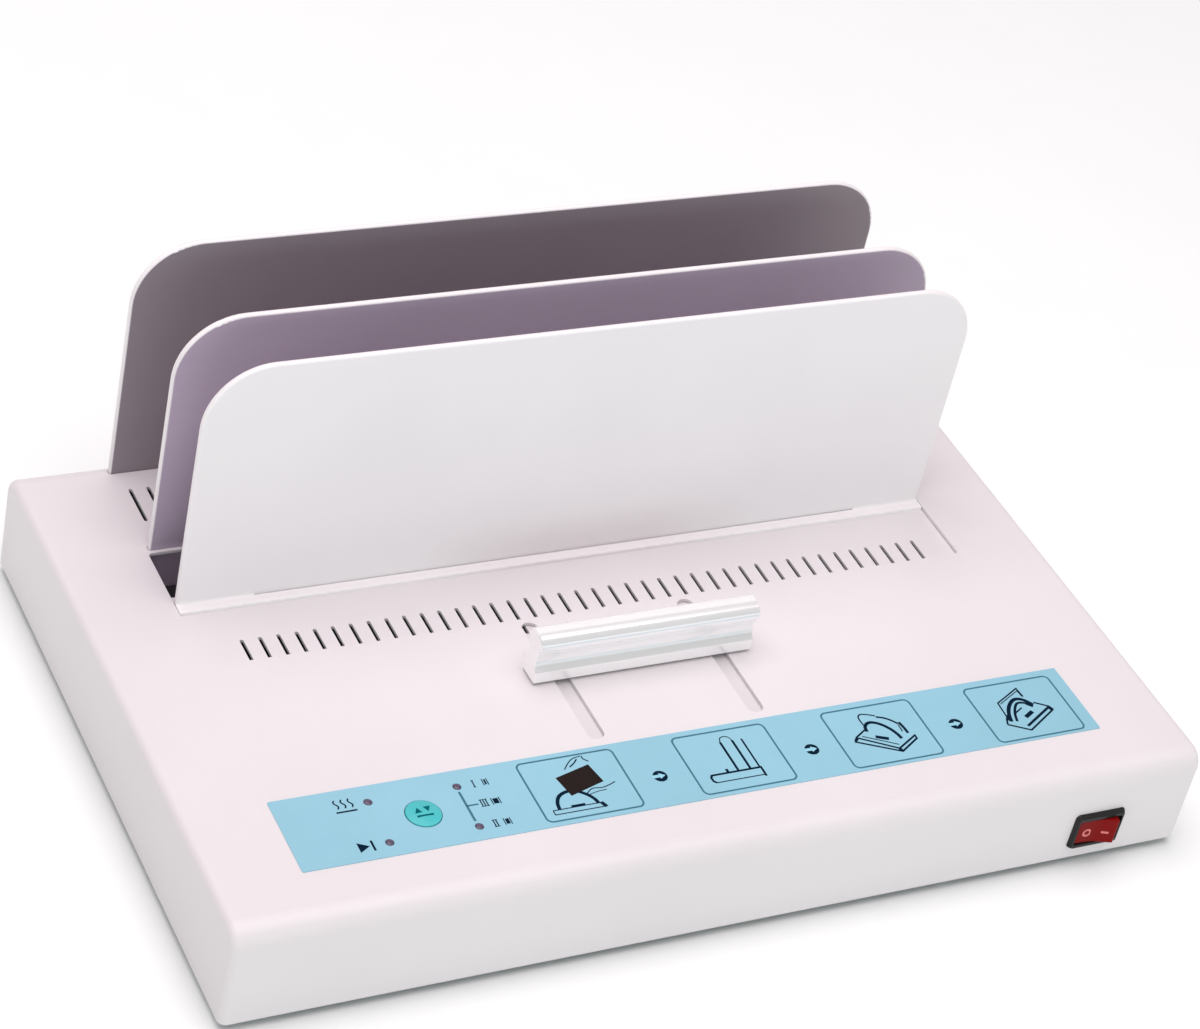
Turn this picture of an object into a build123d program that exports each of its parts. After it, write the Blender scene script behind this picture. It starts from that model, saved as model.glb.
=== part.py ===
from build123d import *
import os
from math import cos, hypot, radians, sin

# A low steel housing with a binding well across its top. A fixed plate stands behind the
# well and a sliding jaw in front of it. A third plate at the back makes the cooling rack.
# Millimetres, +X to the right, +Y to the back, +Z up, origin on the floor under the middle.
# Places along the depth are distances behind the housing's front wall.

# ---- Clearances ----
running_gap = 0.05             # radial, of every sliding or turning fit
thread_gap = 0.05              # radial, stands for a thread
screw_hole_gap = 0.2           # radial, round a screw in a plain hole
blind_floor = 2.0              # metal left beyond a blind threaded hole
past = 1.0                     # how far a cutter runs beyond the sheet it cuts
near = 1e-3                    # an edge this close to a place is taken to lie on it

# ---- Housing ----
cover_sheet = 1.2
base_sheet = 1.2
side_deck = 35.5               # the housing beyond each end of the well
long_bend = 7.5                # outside radius of the bends along the front and the back
end_round = 3.0                # ground-over radius round both ends
lip_width = 9.0                # turned-in lip round the cover's lower edge
lip_notch = 3.0                # corner notch beyond the lip's width
lip_screw_side = 64.0          # lip screws of the two ends, each way from the middle
lip_screw_front = 90.0         # lip screws of the front and back, each way from the middle
base_gap = 0.3                 # between the base plate and the cover's walls
foot_height = 4.0
foot_diameter = 18.0
foot_taper = 1.2               # the foot's underside is this much smaller in radius
foot_inset = 26.0              # foot centre to the outside of the walls
foot_seat = 2.5                # depth of the seat for the foot's screw
foot_seat_gap = 0.4

# ---- Deck, from the front wall to the back wall ----
film_inset = 22.4              # front wall to the printed film
overlay_depth = 34.0
film_bar = 3.5                 # film to the handle's slots
slot_front_gap = 5.1           # spacer to the slot's front end, jaw fully open
slot_rear_gap = 1.2            # spacer to the slot's rear end, jaw fully closed
well_bar = 2.2                 # handle's slots to the well
jaw_front_gap = 1.2            # well's front edge to the jaw's foot, jaw fully open
jaw_foot = 4.4                 # depth of the foot in front of the jaw's face
jaw_opens = 28.0               # travel towards the front
jaw_closes = 24.0              # travel towards the back
closed_gap = 4.6               # jaw to the plate behind the well, jaw fully closed
well_rim = 1.7                 # well's rear edge to the face of the plate behind it
cooling_gap = 42.7             # between the plate behind the well and the rear plate
rear_margin = 5.6              # rear plate to the back wall

# ---- Binding well ----
well_length = 309.0
well_corner = 1.5

# ---- Upright plates ----
plate_sheet = 2.5
plate_edge = 1.1               # rounding of the plates' edges
plate_corner = 25.0
plate_inset = 0.8              # ends of the fixed plates inside the well's ends
fixed_plate_rise = 101.2       # above the cover's top face
plate_slot_gap = 0.2           # between a plate and its slot in the cover
rear_plate_tail = 12.0         # below the cover's top face
middle_plate_overlap = 3.0     # below the heating plate's top, behind its rear edge

# ---- Sliding jaw ----
jaw_side_gap = 0.3             # ends of the jaw inside the well's ends
jaw_rise = 102.8
jaw_foot_sheet = 1.5
jaw_foot_round = 0.7
jaw_bend = 1.0                 # inside radius between the jaw and its foot
crease_width = 0.5             # groove in the foot along the jaw's face
crease_depth = 0.7
crease_inset = 29.5            # groove's ends inside the jaw's ends
panel_sheet = 1.2
panel_gap = 0.3                # between the panel and the cover above it
panel_wing = 1.0               # panel beyond the outer faces of the slide blocks
panel_overlap = 2.0            # panel under the well's front edge, jaw fully closed
panel_rear_gap = 0.6           # panel to the plate behind the well, jaw fully closed
panel_corner = 6.0
panel_bend = 1.0               # outside radius of the bend over the panel's lip
panel_lip = 9.0                # turned-down lip at the back of the panel
panel_lip_inset = 1.5          # ends of the lip inside the well's ends
tongue_reach = 7.9             # tongue in front of the handle's slots
tongue_margin = 12.0           # tongue beyond the handle's screws

# ---- Ventilation slots ----
vent_width = 1.5
vent_length = 19.1
vent_pitch = 6.93
front_vent_margin = 15.0       # the front row keeps at least this far from the well's ends
front_vent_shift = 1.6         # the front row sits this far to the right
front_vent_set = 30.5          # middle of the front row to the jaw's face
rear_vent_margin = 5.0
rear_vent_set = 0.85           # rear row to the rear plate's bracket
intake_pitch = 16.0
intake_width = 4.0
intake_length = 26.0
intake_margin = 35.0           # the intake keeps at least this far from the hot plate's ends

# ---- Handle ----
handle_length = 88.5
handle_height = 21.4           # its top above the cover's top face
handle_lift = 1.0              # its underside above the cover's top face
handle_half_base = 5.0
handle_half_waist = 2.9
handle_half_head = 5.3
handle_base_rise = 6.0
handle_waist_rise = 11.2
handle_head_height = 5.2
handle_head_round = 4.3
handle_base_round = 0.6
handle_end_break = 0.4
handle_spacing = 64.0
spacer_diameter = 5.6
spacer_gap = 0.4               # spacer to each side of its slot

# ---- Rails ----
rail_diameter = 6.0
rail_outset = 11.5             # rail axis beyond the well's ends
rail_drop = 12.0               # rail axis below the cover's top face
rail_spare = 12.0              # slide block to the end of the rail, at either limit
rail_overhang = 4.0            # rail beyond each ear
rail_chamfer = 0.5
block_width = 14.0
block_length = 20.0
block_depth_below = 6.0        # block below the rail axis
block_round = 3.0
front_block_inset = 12.0       # middle of the front blocks behind the panel's front edge
rear_block_inset = 16.1        # middle of the rear blocks in front of the panel's rear edge
bracket_sheet = 1.5
bracket_bend = 1.0             # inside radius of every bracket's bend
bracket_offset = 9.5           # rail axis to the bracket's web
bracket_foot = 13.0
bracket_screw_pitch = 100.0
ear_radius = 7.5
ear_strap = 10.0               # height of the strap between an ear and the web
clip_sheet = 0.8
clip_diameter = 10.0
clip_opening = 3.0

# ---- Heating plate ----
heater_room = 14.8             # base plate to the heating plate
platen_sheet = 8.0
platen_drop = 17.0             # top of the heating plate below the cover's top face
platen_end_overlap = 0.7       # heating plate beyond the well's ends
platen_front_gap = 3.0         # well's front edge to the heating plate
platen_rear_gap = 0.5          # heating plate to the plate behind the well
platen_edge = 1.5
insulator_diameter = 11.0
insulator_inset = 8.0          # insulator centre to the heating plate's edges
insulator_chamfer = 0.5
insulator_screw_grip = 4.0     # thread in the heating plate
clamp_sheet = 1.5
clamp_end_gap = 2.7            # clamp plate to the insulators
clamp_margin = 3.6             # clamp plate inside the heating plate's long edges
clamp_rim = 8.0                # clamp plate beyond the element's ends
clamp_corner = 3.0
clamp_screw_inset = 7.0        # clamp screws to the clamp plate's long edges
clamp_screw_step = 47.0        # outer to inner clamp screws
clamp_screw_grip = 5.0
element_sheet = 1.6
element_margin = 4.0           # element inside the clamp plate's long edges
element_corner = 2.0
element_end_gap = 0.3
element_hole_gap = 0.75
end_wall_sheet = 1.0
end_wall_bend = 0.8            # inside radius over its foot
end_wall_gap = 0.5             # end wall to the panel above it
end_wall_clear = 0.4           # end wall to the heating plate
end_wall_foot = 12.0
end_wall_foot_length = 26.0
end_wall_screw_pitch = 16.0
foot_screw_set = 1.5           # a foot's screws are this far beyond the middle of the foot

# ---- Thermostat and thermal fuse ----
thermostat_x = 60.0
thermostat_diameter = 16.0
thermostat_height = 9.6
thermostat_cap = 4.0           # height of its metal cap
thermostat_waist = 0.4         # its body inside the cap's radius
thermostat_ring_length = 30.0
thermostat_ring_width = 6.0
thermostat_ring_sheet = 1.0
thermostat_spacing = 24.0      # between the holes of its ring
thermostat_hole = 2.4
tab_pair_length = 28.0
tab_pair_width = 6.3
tab_pair_lift = 1.5            # its tabs above its underside
fuse_x = -50.0
fuse_diameter = 4.0
fuse_length = 11.0
fuse_lead = 9.0
fuse_wire = 1.0
saddle_sheet = 0.6
saddle_length = 6.0
saddle_wing = 4.0

# ---- Plate brackets ----
angle_sheet = 1.5
angle_leg = 9.0
angle_inset = 13.7             # ends of the brackets inside the plates' ends
stud_diameter = 3.0
stud_length = 7.0
bracket_studs = 4
stud_margin = 14.0             # outer studs to the bracket's ends
nut_flats = 5.5
nut_height = 2.4
rivet_diameter = 3.0
rivet_head = 5.4
rivet_head_height = 1.0
rivet_drop = 0.8               # rivet head to the bracket's lower edge
plate_rivet_count = 5
rivet_margin = 20.0            # outer rivets to the bracket's ends

# ---- Operating panel ----
overlay_length = 315.0
overlay_sheet = 0.3
overlay_side = 31.9            # the housing's left side to the film
overlay_corner = 0.6
key_inset = 50.0               # key's middle to the film's left end
key_set = 16.5                 # key's middle to the film's front edge
lamp_spread = 16.45            # lamps each way from the key's middle
lamp_set = 6.3                 # front lamps to the film's front edge
lamp_pitch = 19.9              # front lamps to rear lamps
lamp_diameter = 3.0
lamp_collar = 3.8
lamp_collar_height = 1.5
lamp_crown = 0.45              # rise of a lamp's dome
lamp_gap = 0.1
key_diameter = 12.6
key_rise = 0.9                 # crown of the key above the film
key_dome = 0.6                 # rise of the crown's dome
key_gap = 0.3
key_rim = 0.25
key_flange = 15.0
key_flange_sheet = 0.8
key_stem = 3.5
key_travel = 0.4
plunger_gap = 0.1              # stem to plunger at the end of the travel
tact_size = 6.0
tact_height = 3.2
tact_corner = 0.6
plunger_diameter = 3.4
plunger_stroke = 0.8

# ---- Boards ----
board_sheet = 1.6
board_corner = 1.5
board_stud_inset = 5.0         # stand-offs to a board's edges
control_board_length = 58.0
control_board_depth = 34.0
control_board_drop = 9.0       # board's top face below the cover's top face
control_post_diameter = 5.5
control_screw_grip = 4.0
chip_size = 10.0
chip_height = 1.6
chip_shift = 14.0              # chip to the left of the key, plug to its right
plug_length = 10.0
plug_depth = 6.0
plug_height = 6.0
plug_wall = 1.0
power_board_set = 19.0         # front wall to the power board
power_board_gap = 10.0         # power board to the switch's middle
power_board_length = 112.0
power_board_depth = 62.0
power_board_lift = 6.0
power_post_diameter = 6.0

# ---- Parts on the power board ----
core_length = 30.0
core_depth = 26.0
core_height = 20.0
core_lift = 3.0
coil_length = 19.0
coil_depth = 33.0
coil_height = 15.0
coil_corner = 3.0
coil_flange = 1.5              # sheet of a coil's flanges, and how far they stand out
transformer_inset = 30.0       # its middle to the board's left edge
relay_length = 19.0
relay_depth = 15.6
relay_height = 15.2
relay_lift = 0.3
relay_edge = 0.6
relay_inset = 30.0             # its middle to the board's right edge
relay_set = 23.0               # its middle to the board's rear edge
terminal_count = 4
terminal_pitch = 7.5
terminal_half = 5.0            # half the depth of the terminal block
terminal_height = 12.0
terminal_step = 6.0            # height where its sloped face starts
terminal_crown = 2.5           # front edge of its top
terminal_inset = 26.0          # its middle to the board's right edge
terminal_set = 13.0            # its middle to the board's front edge
well_diameter = 4.2
well_offset = 1.5
well_floor = 7.0
mouth_width = 4.4
mouth_height = 4.0
mouth_depth = 4.0
mouth_lift = 1.5
grub_diameter = 3.6
grub_top = 9.5
grub_slot = 0.8
can_diameter = 8.0
can_height = 14.0
can_shift = 4.0                # capacitors to the right of the board's middle
can_pitch = 11.0
fuse_tube_diameter = 5.2
fuse_tube_length = 20.0
fuse_tube_set = 11.0           # its axis to the board's rear edge
fuse_tube_lift = 0.8
fuse_clip_width = 4.0
fuse_clip_height = 3.0
fuse_clip_depth = 6.0

# ---- Rocker switch ----
switch_inset = 40.0            # its middle to the housing's right side
switch_rise = 13.5             # centre above the cover's lower edge
bezel_length = 21.3
bezel_height = 16.0
bezel_depth = 2.0
bezel_corner = 1.6
bezel_land = 0.4               # square edge behind the bezel's sloped sides
bezel_slope = 0.9              # its front is this much smaller on each side
bezel_floor = 0.8              # left behind the rocker's mouth in the bezel
switch_body_length = 19.2
switch_body_height = 13.0
switch_body_depth = 15.0
switch_body_corner = 0.8
switch_cavity_depth = 7.5
switch_cut_gap = 0.1
catch_width = 5.0
catch_reach = 1.0              # how far a spring catch stands out
catch_length = 6.65
catch_gap = 0.15               # catch to the cover's sheet
catch_lead = 0.45
rocker_length = 16.0
rocker_height = 11.0
rocker_mouth_gap = 1.2         # rocker's ends to the mouth in the bezel
rocker_body_gap = 1.1          # rocker's ends to the walls of the body
rocker_side_gap = 0.3
pivot_depth = 2.5              # pivot behind the front wall's face
rocker_reach = 5.6             # rocker's ends in front of the pivot, when level
rocker_valley = 4.2
rocker_hollow = 18.0           # radius across the valley
rocker_corner = 0.8
rocker_edge = 0.4
rocker_skirt = 1.0
rocker_keel = 1.5
rocker_keel_half = 3.0
rocker_tilt = 12.0             # each way from level
trunnion_diameter = 2.0
trunnion_length = 0.5
tab_width = 4.8
tab_sheet = 0.8
tab_length = 8.0
tab_root = 4.0                 # tab inside the switch's body
tab_eye = 1.4
tab_spread = 6.0               # tabs each way from the switch's middle
tab_slit_gap = 0.05

# ---- Power inlet ----
inlet_inset = 50.0             # its middle to the housing's right side
inlet_rise = 17.0
inlet_flange_length = 50.0
inlet_flange_height = 24.0
inlet_flange_depth = 2.5
inlet_flange_corner = 5.0
inlet_flange_edge = 0.6
inlet_body_length = 27.4
inlet_body_height = 19.6
inlet_body_depth = 20.0
inlet_wall = 1.6
inlet_floor = 3.0
inlet_body_corner = 3.0
inlet_key = 4.5                # cut across the mouth's two lower corners
inlet_mouth_round = 1.0
inlet_cut_gap = 0.2
inlet_screw_spacing = 40.0
inlet_screw_grip = 4.0
pin_length = 12.0
pin_width = 4.0
pin_sheet = 2.0
pin_point = 0.6
pin_spacing = 14.0
earth_offset = 4.0
inlet_tab_length = 8.0

# ---- Fasteners ----
sunk_diameter = 2.5
sunk_head = 4.7
sunk_depth = 1.1
sunk_reach = 6.0               # below the panel's top face
sunk_tip_gap = 0.5
screw_diameter = 3.0
screw_head = 5.6
screw_head_height = 1.8
base_screw_length = 6.0
foot_screw_diameter = 4.0
foot_screw_head = 7.4
foot_screw_grip = 2.5          # foot's screw beyond the base plate

# ---- Lengths worked out from the sizes above ----
slot_front = film_inset + overlay_depth + film_bar
handle_slot_length = slot_front_gap + jaw_opens + spacer_diameter + jaw_closes + slot_rear_gap
handle_slot_width = spacer_diameter + 2 * spacer_gap
handle_slot_middle = slot_front + handle_slot_length / 2
handle_middle = slot_front + slot_front_gap + jaw_opens + spacer_diameter / 2
well_front = slot_front + handle_slot_length + well_bar
jaw_face = well_front + jaw_front_gap + jaw_foot + jaw_opens
middle_face = jaw_face + plate_sheet + jaw_closes + closed_gap
well_rear = middle_face - well_rim
rear_face = middle_face + plate_sheet + cooling_gap
housing_depth = rear_face + plate_sheet + rear_margin
housing_width = well_length + 2 * side_deck
housing_height = base_sheet + heater_room + platen_sheet + platen_drop
fixed_plate_length = well_length - 2 * plate_inset
jaw_length = well_length - 2 * jaw_side_gap
panel_front = well_front - jaw_closes - panel_overlap
panel_rear = middle_face - jaw_closes - panel_rear_gap
panel_lip_length = well_length - 2 * panel_lip_inset
tongue_front = slot_front - tongue_reach
tongue_width = handle_spacing + 2 * tongue_margin
rail_x = well_length / 2 + rail_outset
panel_width = 2 * (rail_x + block_width / 2 + panel_wing)
front_block = panel_front + front_block_inset
rear_block = panel_rear - rear_block_inset
rail_front = front_block - block_length / 2 - jaw_opens - rail_spare
rail_rear = rear_block + block_length / 2 + jaw_closes + rail_spare
bracket_x = rail_x + bracket_offset
front_vent_middle = jaw_face - front_vent_set
rear_vent_middle = rear_face - angle_leg - rear_vent_set - vent_length / 2
handle_head_rise = handle_height - handle_head_height
overlay_left = overlay_side - housing_width / 2
overlay_middle = film_inset + overlay_depth / 2
key_x = overlay_left + key_inset
key_middle = film_inset + key_set
lamp_front = film_inset + lamp_set
switch_x = housing_width / 2 - switch_inset
inlet_x = housing_width / 2 - inlet_inset
power_board_x = switch_x - power_board_gap - power_board_length / 2
power_board_middle = power_board_set + power_board_depth / 2

platen_length = well_length + 2 * platen_end_overlap
platen_front = well_front + platen_front_gap
platen_rear = middle_face - platen_rear_gap
platen_middle = (platen_front + platen_rear) / 2
platen_width = platen_rear - platen_front
insulator_x = platen_length / 2 - insulator_inset
insulator_y = platen_width / 2 - insulator_inset
clamp_length = 2 * (insulator_x - insulator_diameter / 2 - clamp_end_gap)
clamp_width = platen_width - 2 * clamp_margin
element_length = clamp_length - 2 * clamp_rim
element_width = clamp_width - 2 * element_margin
clamp_screw_x = (clamp_length + element_length) / 4
clamp_screw_y = clamp_width / 2 - clamp_screw_inset
angle_length = fixed_plate_length - 2 * angle_inset

# ---- Places worked out from the sizes above ----
rocker_swing = radians(rocker_tilt)
rocker_slope = (rocker_reach - rocker_valley) / (rocker_length / 2)
corner_reach = rocker_reach - rocker_corner * (rocker_slope + hypot(1, rocker_slope))
rocker_proud = ((rocker_length / 2 - rocker_corner) * sin(rocker_swing)
                + corner_reach * cos(rocker_swing) + rocker_corner - pivot_depth)
inlet_proud = inlet_flange_depth + screw_head_height
front_y = -housing_depth / 2 + (rocker_proud - inlet_proud) / 2
rear_y = front_y + housing_depth
centre_y = (front_y + rear_y) / 2
base_z = foot_height
floor_z = base_z + base_sheet                   # top face of the base plate
top_z = base_z + housing_height
under_z = top_z - cover_sheet
panel_top = under_z - panel_gap
panel_under = panel_top - panel_sheet
platen_top = top_z - platen_drop
platen_under = platen_top - platen_sheet
rail_z = top_z - rail_drop
overlay_top = top_z + overlay_sheet
inner_width = housing_width - 2 * cover_sheet
inner_depth = housing_depth - 2 * cover_sheet
clamp_under = platen_under - element_sheet - clamp_sheet
control_top = top_z - control_board_drop        # upper face of the control board
power_top = floor_z + power_board_lift + board_sheet


def behind(distance):
    """Y of a place the given distance behind the front wall."""
    return front_y + distance


def block(x, y, z):
    """Rectangular block between two limits on each axis."""
    size = (x[1] - x[0], y[1] - y[0], z[1] - z[0])
    return Pos((x[0] + x[1]) / 2, (y[0] + y[1]) / 2, (z[0] + z[1]) / 2) * Box(*size)


def centred_block(x, y, length, depth, z):
    """Rectangular block about x and y, between the two heights in z."""
    return Pos(x, y, (z[0] + z[1]) / 2) * Box(length, depth, z[1] - z[0])


def rod(x, y, z, diameter):
    """Upright round bar between the two heights in z."""
    return Pos(x, y, (z[0] + z[1]) / 2) * Cylinder(diameter / 2, z[1] - z[0])


def bar_along_y(x, z, y, diameter):
    """Round bar along the depth between the two limits in y."""
    bar = Rot(90, 0, 0) * Cylinder(diameter / 2, y[1] - y[0])
    return Pos(x, (y[0] + y[1]) / 2, z) * bar


def bar_along_x(y, z, x, diameter):
    """Round bar along the width between the two limits in x."""
    bar = Rot(0, 90, 0) * Cylinder(diameter / 2, x[1] - x[0])
    return Pos((x[0] + x[1]) / 2, y, z) * bar


def rounded_slab(x, y, length, depth, z, corner):
    """Flat slab with rounded upright corners, centred on x and y."""
    outline = Pos(x, y, z[0]) * RectangleRounded(length, depth, corner)
    return extrude(outline, z[1] - z[0])


def group(solids):
    """Several separate solids as one node."""
    return Compound(children=list(solids))


def spread(count, pitch):
    """Places of a row of equal steps about zero."""
    return [(i - (count - 1) / 2) * pitch for i in range(count)]


def fitted_row(count, span):
    """Places of a row of equal steps about zero that fills a span."""
    return spread(count, span / (count - 1))


def slot_cutters(places, y, width, length, z):
    """Round-ended slots along the depth, one at each x."""
    outline = SlotOverall(length, width, rotation=90)
    cutter = extrude(outline, z[1] - z[0])
    return [Pos(x, y, z[0]) * cutter for x in places]


def corners(half_x, half_y):
    """The four corner places of a rectangle about zero."""
    return [(sx * half_x, sy * half_y) for sx in (-1, 1) for sy in (-1, 1)]


def pan_screw(length, diameter=screw_diameter, head=screw_head, height=screw_head_height):
    """Pan-head screw pointing down, with its seat at z = 0."""
    shank = Pos(0, 0, -length / 2) * Cylinder(diameter / 2, length)
    cap = Pos(0, 0, height / 2) * Cylinder(head / 2, height)
    rim = cap.edges().group_by(Axis.Z)[-1]
    return shank + fillet(rim, height / 2)


# ---- Housing ----

def rounded_housing(width, depth, height, bend, end):
    """Block with bends along the front and back of its top and rounded ends."""
    side = Pos(0, height / 2) * Rectangle(depth, height)
    side = fillet(side.vertices().sort_by(Axis.Y)[-2:], bend)
    body = extrude(Plane.YZ * side, width / 2, both=True)
    ends = [e for e in body.edges()
            if abs(abs(e.center().X) - width / 2) < near and e.center().Z > near]
    return fillet(ends, end)


def housing_inside():
    """The space inside the cover's walls."""
    inside = rounded_housing(inner_width, inner_depth, housing_height - cover_sheet,
                             long_bend - cover_sheet, end_round - cover_sheet)
    return Pos(0, centre_y, base_z) * inside


def lip_screw_places():
    """Base screws, through the middle of the cover's turned-in lip."""
    half_x = inner_width / 2 - lip_width / 2
    half_y = inner_depth / 2 - lip_width / 2
    at_ends = corners(half_x, lip_screw_side)
    along_walls = corners(lip_screw_front, half_y)
    return [(x, centre_y + y) for x, y in at_ends + along_walls]


def cover():
    """Folded steel cover with the binding well, the slots and the switch cut-outs."""
    shell = Pos(0, centre_y, base_z) * rounded_housing(
        housing_width, housing_depth, housing_height, long_bend, end_round)
    inside = housing_inside()
    shell -= inside
    lip_z = (floor_z, floor_z + cover_sheet)
    inner_edge = (inner_width / 2 - lip_width, inner_depth / 2 - lip_width)
    window = block((-inner_edge[0], inner_edge[0]),
                   (centre_y - inner_edge[1], centre_y + inner_edge[1]), lip_z)
    level = block((-housing_width, housing_width), (-housing_depth, housing_depth), lip_z)
    notch = 2 * (lip_width + lip_notch)
    reliefs = [Pos(x, centre_y + y, lip_z[0]) * Box(notch, notch, 4 * cover_sheet)
               for x, y in corners(inner_width / 2, inner_depth / 2)]
    shell += (inside & level) - [window] - reliefs
    through = (under_z - long_bend, top_z + past)
    cutters = [
        rounded_slab(0, behind((well_front + well_rear) / 2), well_length,
                     well_rear - well_front, through, well_corner),
        plate_slot(middle_face, through),
        plate_slot(rear_face, through),
        rod(key_x, behind(key_middle), through, key_diameter + 2 * key_gap),
    ]
    cutters += slot_cutters(vent_row(rear_vent_margin), behind(rear_vent_middle),
                            vent_width, vent_length, through)
    cutters += slot_cutters(spread(2, handle_spacing), behind(handle_slot_middle),
                            handle_slot_width, handle_slot_length, through)
    cutters += [rod(x, y, through, lamp_diameter + 2 * lamp_gap) for x, y in lamp_places()]
    lip_cut = (base_z, lip_z[1] + past)
    cutters += [rod(x, y, lip_cut, screw_diameter + 2 * thread_gap)
                for x, y in lip_screw_places()]
    cutters.append(switch_cut_out())
    cutters += inlet_cut_outs()
    return shell - cutters


def vent_row(margin):
    """Places of a row of ventilation slots that keeps a margin to the well's ends."""
    steps = int((well_length - 2 * margin) / vent_pitch)
    return spread(steps + 1, vent_pitch)


def plate_slot(face, z):
    """Slot in the cover that an upright plate passes through."""
    gap = plate_slot_gap
    length = fixed_plate_length + 2 * gap
    depth = plate_sheet + 2 * gap
    return rounded_slab(0, behind(face + plate_sheet / 2), length, depth, z, depth / 3)


def switch_cut_out():
    """Rectangular hole in the front wall for the rocker switch."""
    half_x = switch_body_length / 2 + switch_cut_gap
    half_z = switch_body_height / 2 + switch_cut_gap
    z = base_z + switch_rise
    return block((switch_x - half_x, switch_x + half_x),
                 (front_y - past, front_y + cover_sheet + past), (z - half_z, z + half_z))


def inlet_cut_outs():
    """Rounded hole in the back wall for the power inlet, and its two screw holes."""
    z = base_z + inlet_rise
    outline = RectangleRounded(inlet_body_length + 2 * inlet_cut_gap,
                               inlet_body_height + 2 * inlet_cut_gap, inlet_body_corner)
    reach = cover_sheet + past
    mouth = extrude(Plane.XZ * outline, reach, both=True)
    holes = [bar_along_y(inlet_x + dx, z, (rear_y - reach, rear_y + past),
                         screw_diameter + 2 * thread_gap)
             for dx in spread(2, inlet_screw_spacing)]
    return [Pos(inlet_x, rear_y, z) * mouth] + holes


def base_plate():
    """Flat base that closes the cover from below, with its air intake slots."""
    plate = rounded_slab(0, centre_y, inner_width - 2 * base_gap, inner_depth - 2 * base_gap,
                         (base_z, floor_z), end_round - cover_sheet)
    through = (base_z - past, floor_z + past)
    intake_steps = int((platen_length - 2 * intake_margin) / intake_pitch)
    cutters = slot_cutters(spread(intake_steps + 1, intake_pitch), behind(platen_middle),
                           intake_width, intake_length, through)
    cutters += [rod(x, y, through, screw_diameter + 2 * screw_hole_gap)
                for x, y in lip_screw_places()]
    cutters += [rod(x, y, through, foot_screw_diameter + 2 * thread_gap)
                for x, y in foot_places()]
    cutters += [rod(x, y, through, screw_diameter + 2 * screw_hole_gap)
                for x, y in insulator_places()]
    cutters += [rod(x, y, through, screw_diameter + 2 * thread_gap)
                for x, y in rail_screw_places() + end_wall_screw_places()
                + power_stud_places()]
    return plate - cutters


def base_screws():
    """Screws up through the base plate into the cover's lip."""
    screw = Rot(180, 0, 0) * pan_screw(base_screw_length)
    return group(Pos(x, y, base_z) * screw for x, y in lip_screw_places())


def foot_places():
    """Centres of the four feet."""
    half_x = housing_width / 2 - foot_inset
    half_y = housing_depth / 2 - foot_inset
    return [(x, centre_y + y) for x, y in corners(half_x, half_y)]


def foot(place):
    """Rubber foot: a short cone with a sunk seat for its screw."""
    x, y = place
    body = Cone(foot_diameter / 2 - foot_taper, foot_diameter / 2, foot_height)
    body = Pos(x, y, foot_height / 2) * body
    seat = rod(x, y, (0, foot_seat), foot_screw_head + 2 * foot_seat_gap)
    hole = rod(x, y, (0, foot_height), foot_screw_diameter + 2 * thread_gap)
    return body - seat - hole


def foot_screws():
    """Screws that hold the feet to the base plate."""
    length = foot_height - foot_seat + base_sheet + foot_screw_grip
    screw = Rot(180, 0, 0) * pan_screw(length, foot_screw_diameter, foot_screw_head)
    return group(Pos(x, y, foot_seat) * screw for x, y in foot_places())


# ---- Upright plates ----

def plate_outline(length, low, high):
    """Upright outline with two large rounded top corners."""
    outline = Pos(0, (low + high) / 2) * Rectangle(length, high - low)
    return fillet(outline.vertices().sort_by(Axis.Y)[-2:], plate_corner)


def upright_plate(length, face, low, high):
    """Painted sheet plate with rounded edges, its front face at the given depth."""
    plate = extrude(Plane.XZ * plate_outline(length, low, high), -plate_sheet)
    plate = Pos(0, behind(face), 0) * plate
    middle = behind(face + plate_sheet / 2)
    edges = [e for e in plate.edges()
             if e.center().Z > low + near and abs(e.center().Y - middle) > plate_sheet / 4]
    return fillet(edges, min(plate_edge, plate_sheet * 0.45))


def middle_plate():
    """Fixed plate behind the well. Its lower edge guides the spines onto the hot plate."""
    plate = upright_plate(fixed_plate_length, middle_face, platen_top - middle_plate_overlap,
                          top_z + fixed_plate_rise)
    return plate - rivet_holes(middle_face + plate_sheet)


def rear_plate():
    """Fixed plate at the back of the cooling rack."""
    plate = upright_plate(fixed_plate_length, rear_face, top_z - rear_plate_tail,
                          top_z + fixed_plate_rise)
    return plate - rivet_holes(rear_face)


def rivet_height():
    """Height of the rivets, whose heads stay clear of the bracket's bend."""
    return under_z - angle_leg + rivet_head / 2 + rivet_drop


def rivet_row():
    """Places of the rivets along a bracket."""
    return fitted_row(plate_rivet_count, angle_length - 2 * rivet_margin)


def rivet_holes(face):
    """Holes for the rivets, across the seam at the given depth."""
    reach = plate_sheet + angle_sheet + past
    return [bar_along_y(x, rivet_height(), (behind(face) - reach, behind(face) + reach),
                        rivet_diameter + 2 * thread_gap) for x in rivet_row()]


def plate_bracket(face, side):
    """Angle under the cover that carries a plate. Side +1 puts it behind the seam."""
    leg_up = [(0, -angle_leg), (0, 0), (side * angle_leg, 0)]
    line = FilletPolyline(*leg_up, radius=angle_sheet + bracket_bend)
    strip = make_face(offset(line, angle_sheet, side=Side.RIGHT if side > 0 else Side.LEFT))
    angle = extrude(Plane.YZ * strip, angle_length / 2, both=True)
    angle = Pos(0, behind(face), under_z) * angle
    stud_holes = [rod(x, bracket_stud_y(face, side), (under_z - angle_leg, under_z + past),
                      stud_diameter + 2 * screw_hole_gap) for x in stud_row()]
    return angle - rivet_holes(face) - stud_holes


def stud_row():
    """Places of the studs along a bracket."""
    return fitted_row(bracket_studs, angle_length - 2 * stud_margin)


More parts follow.
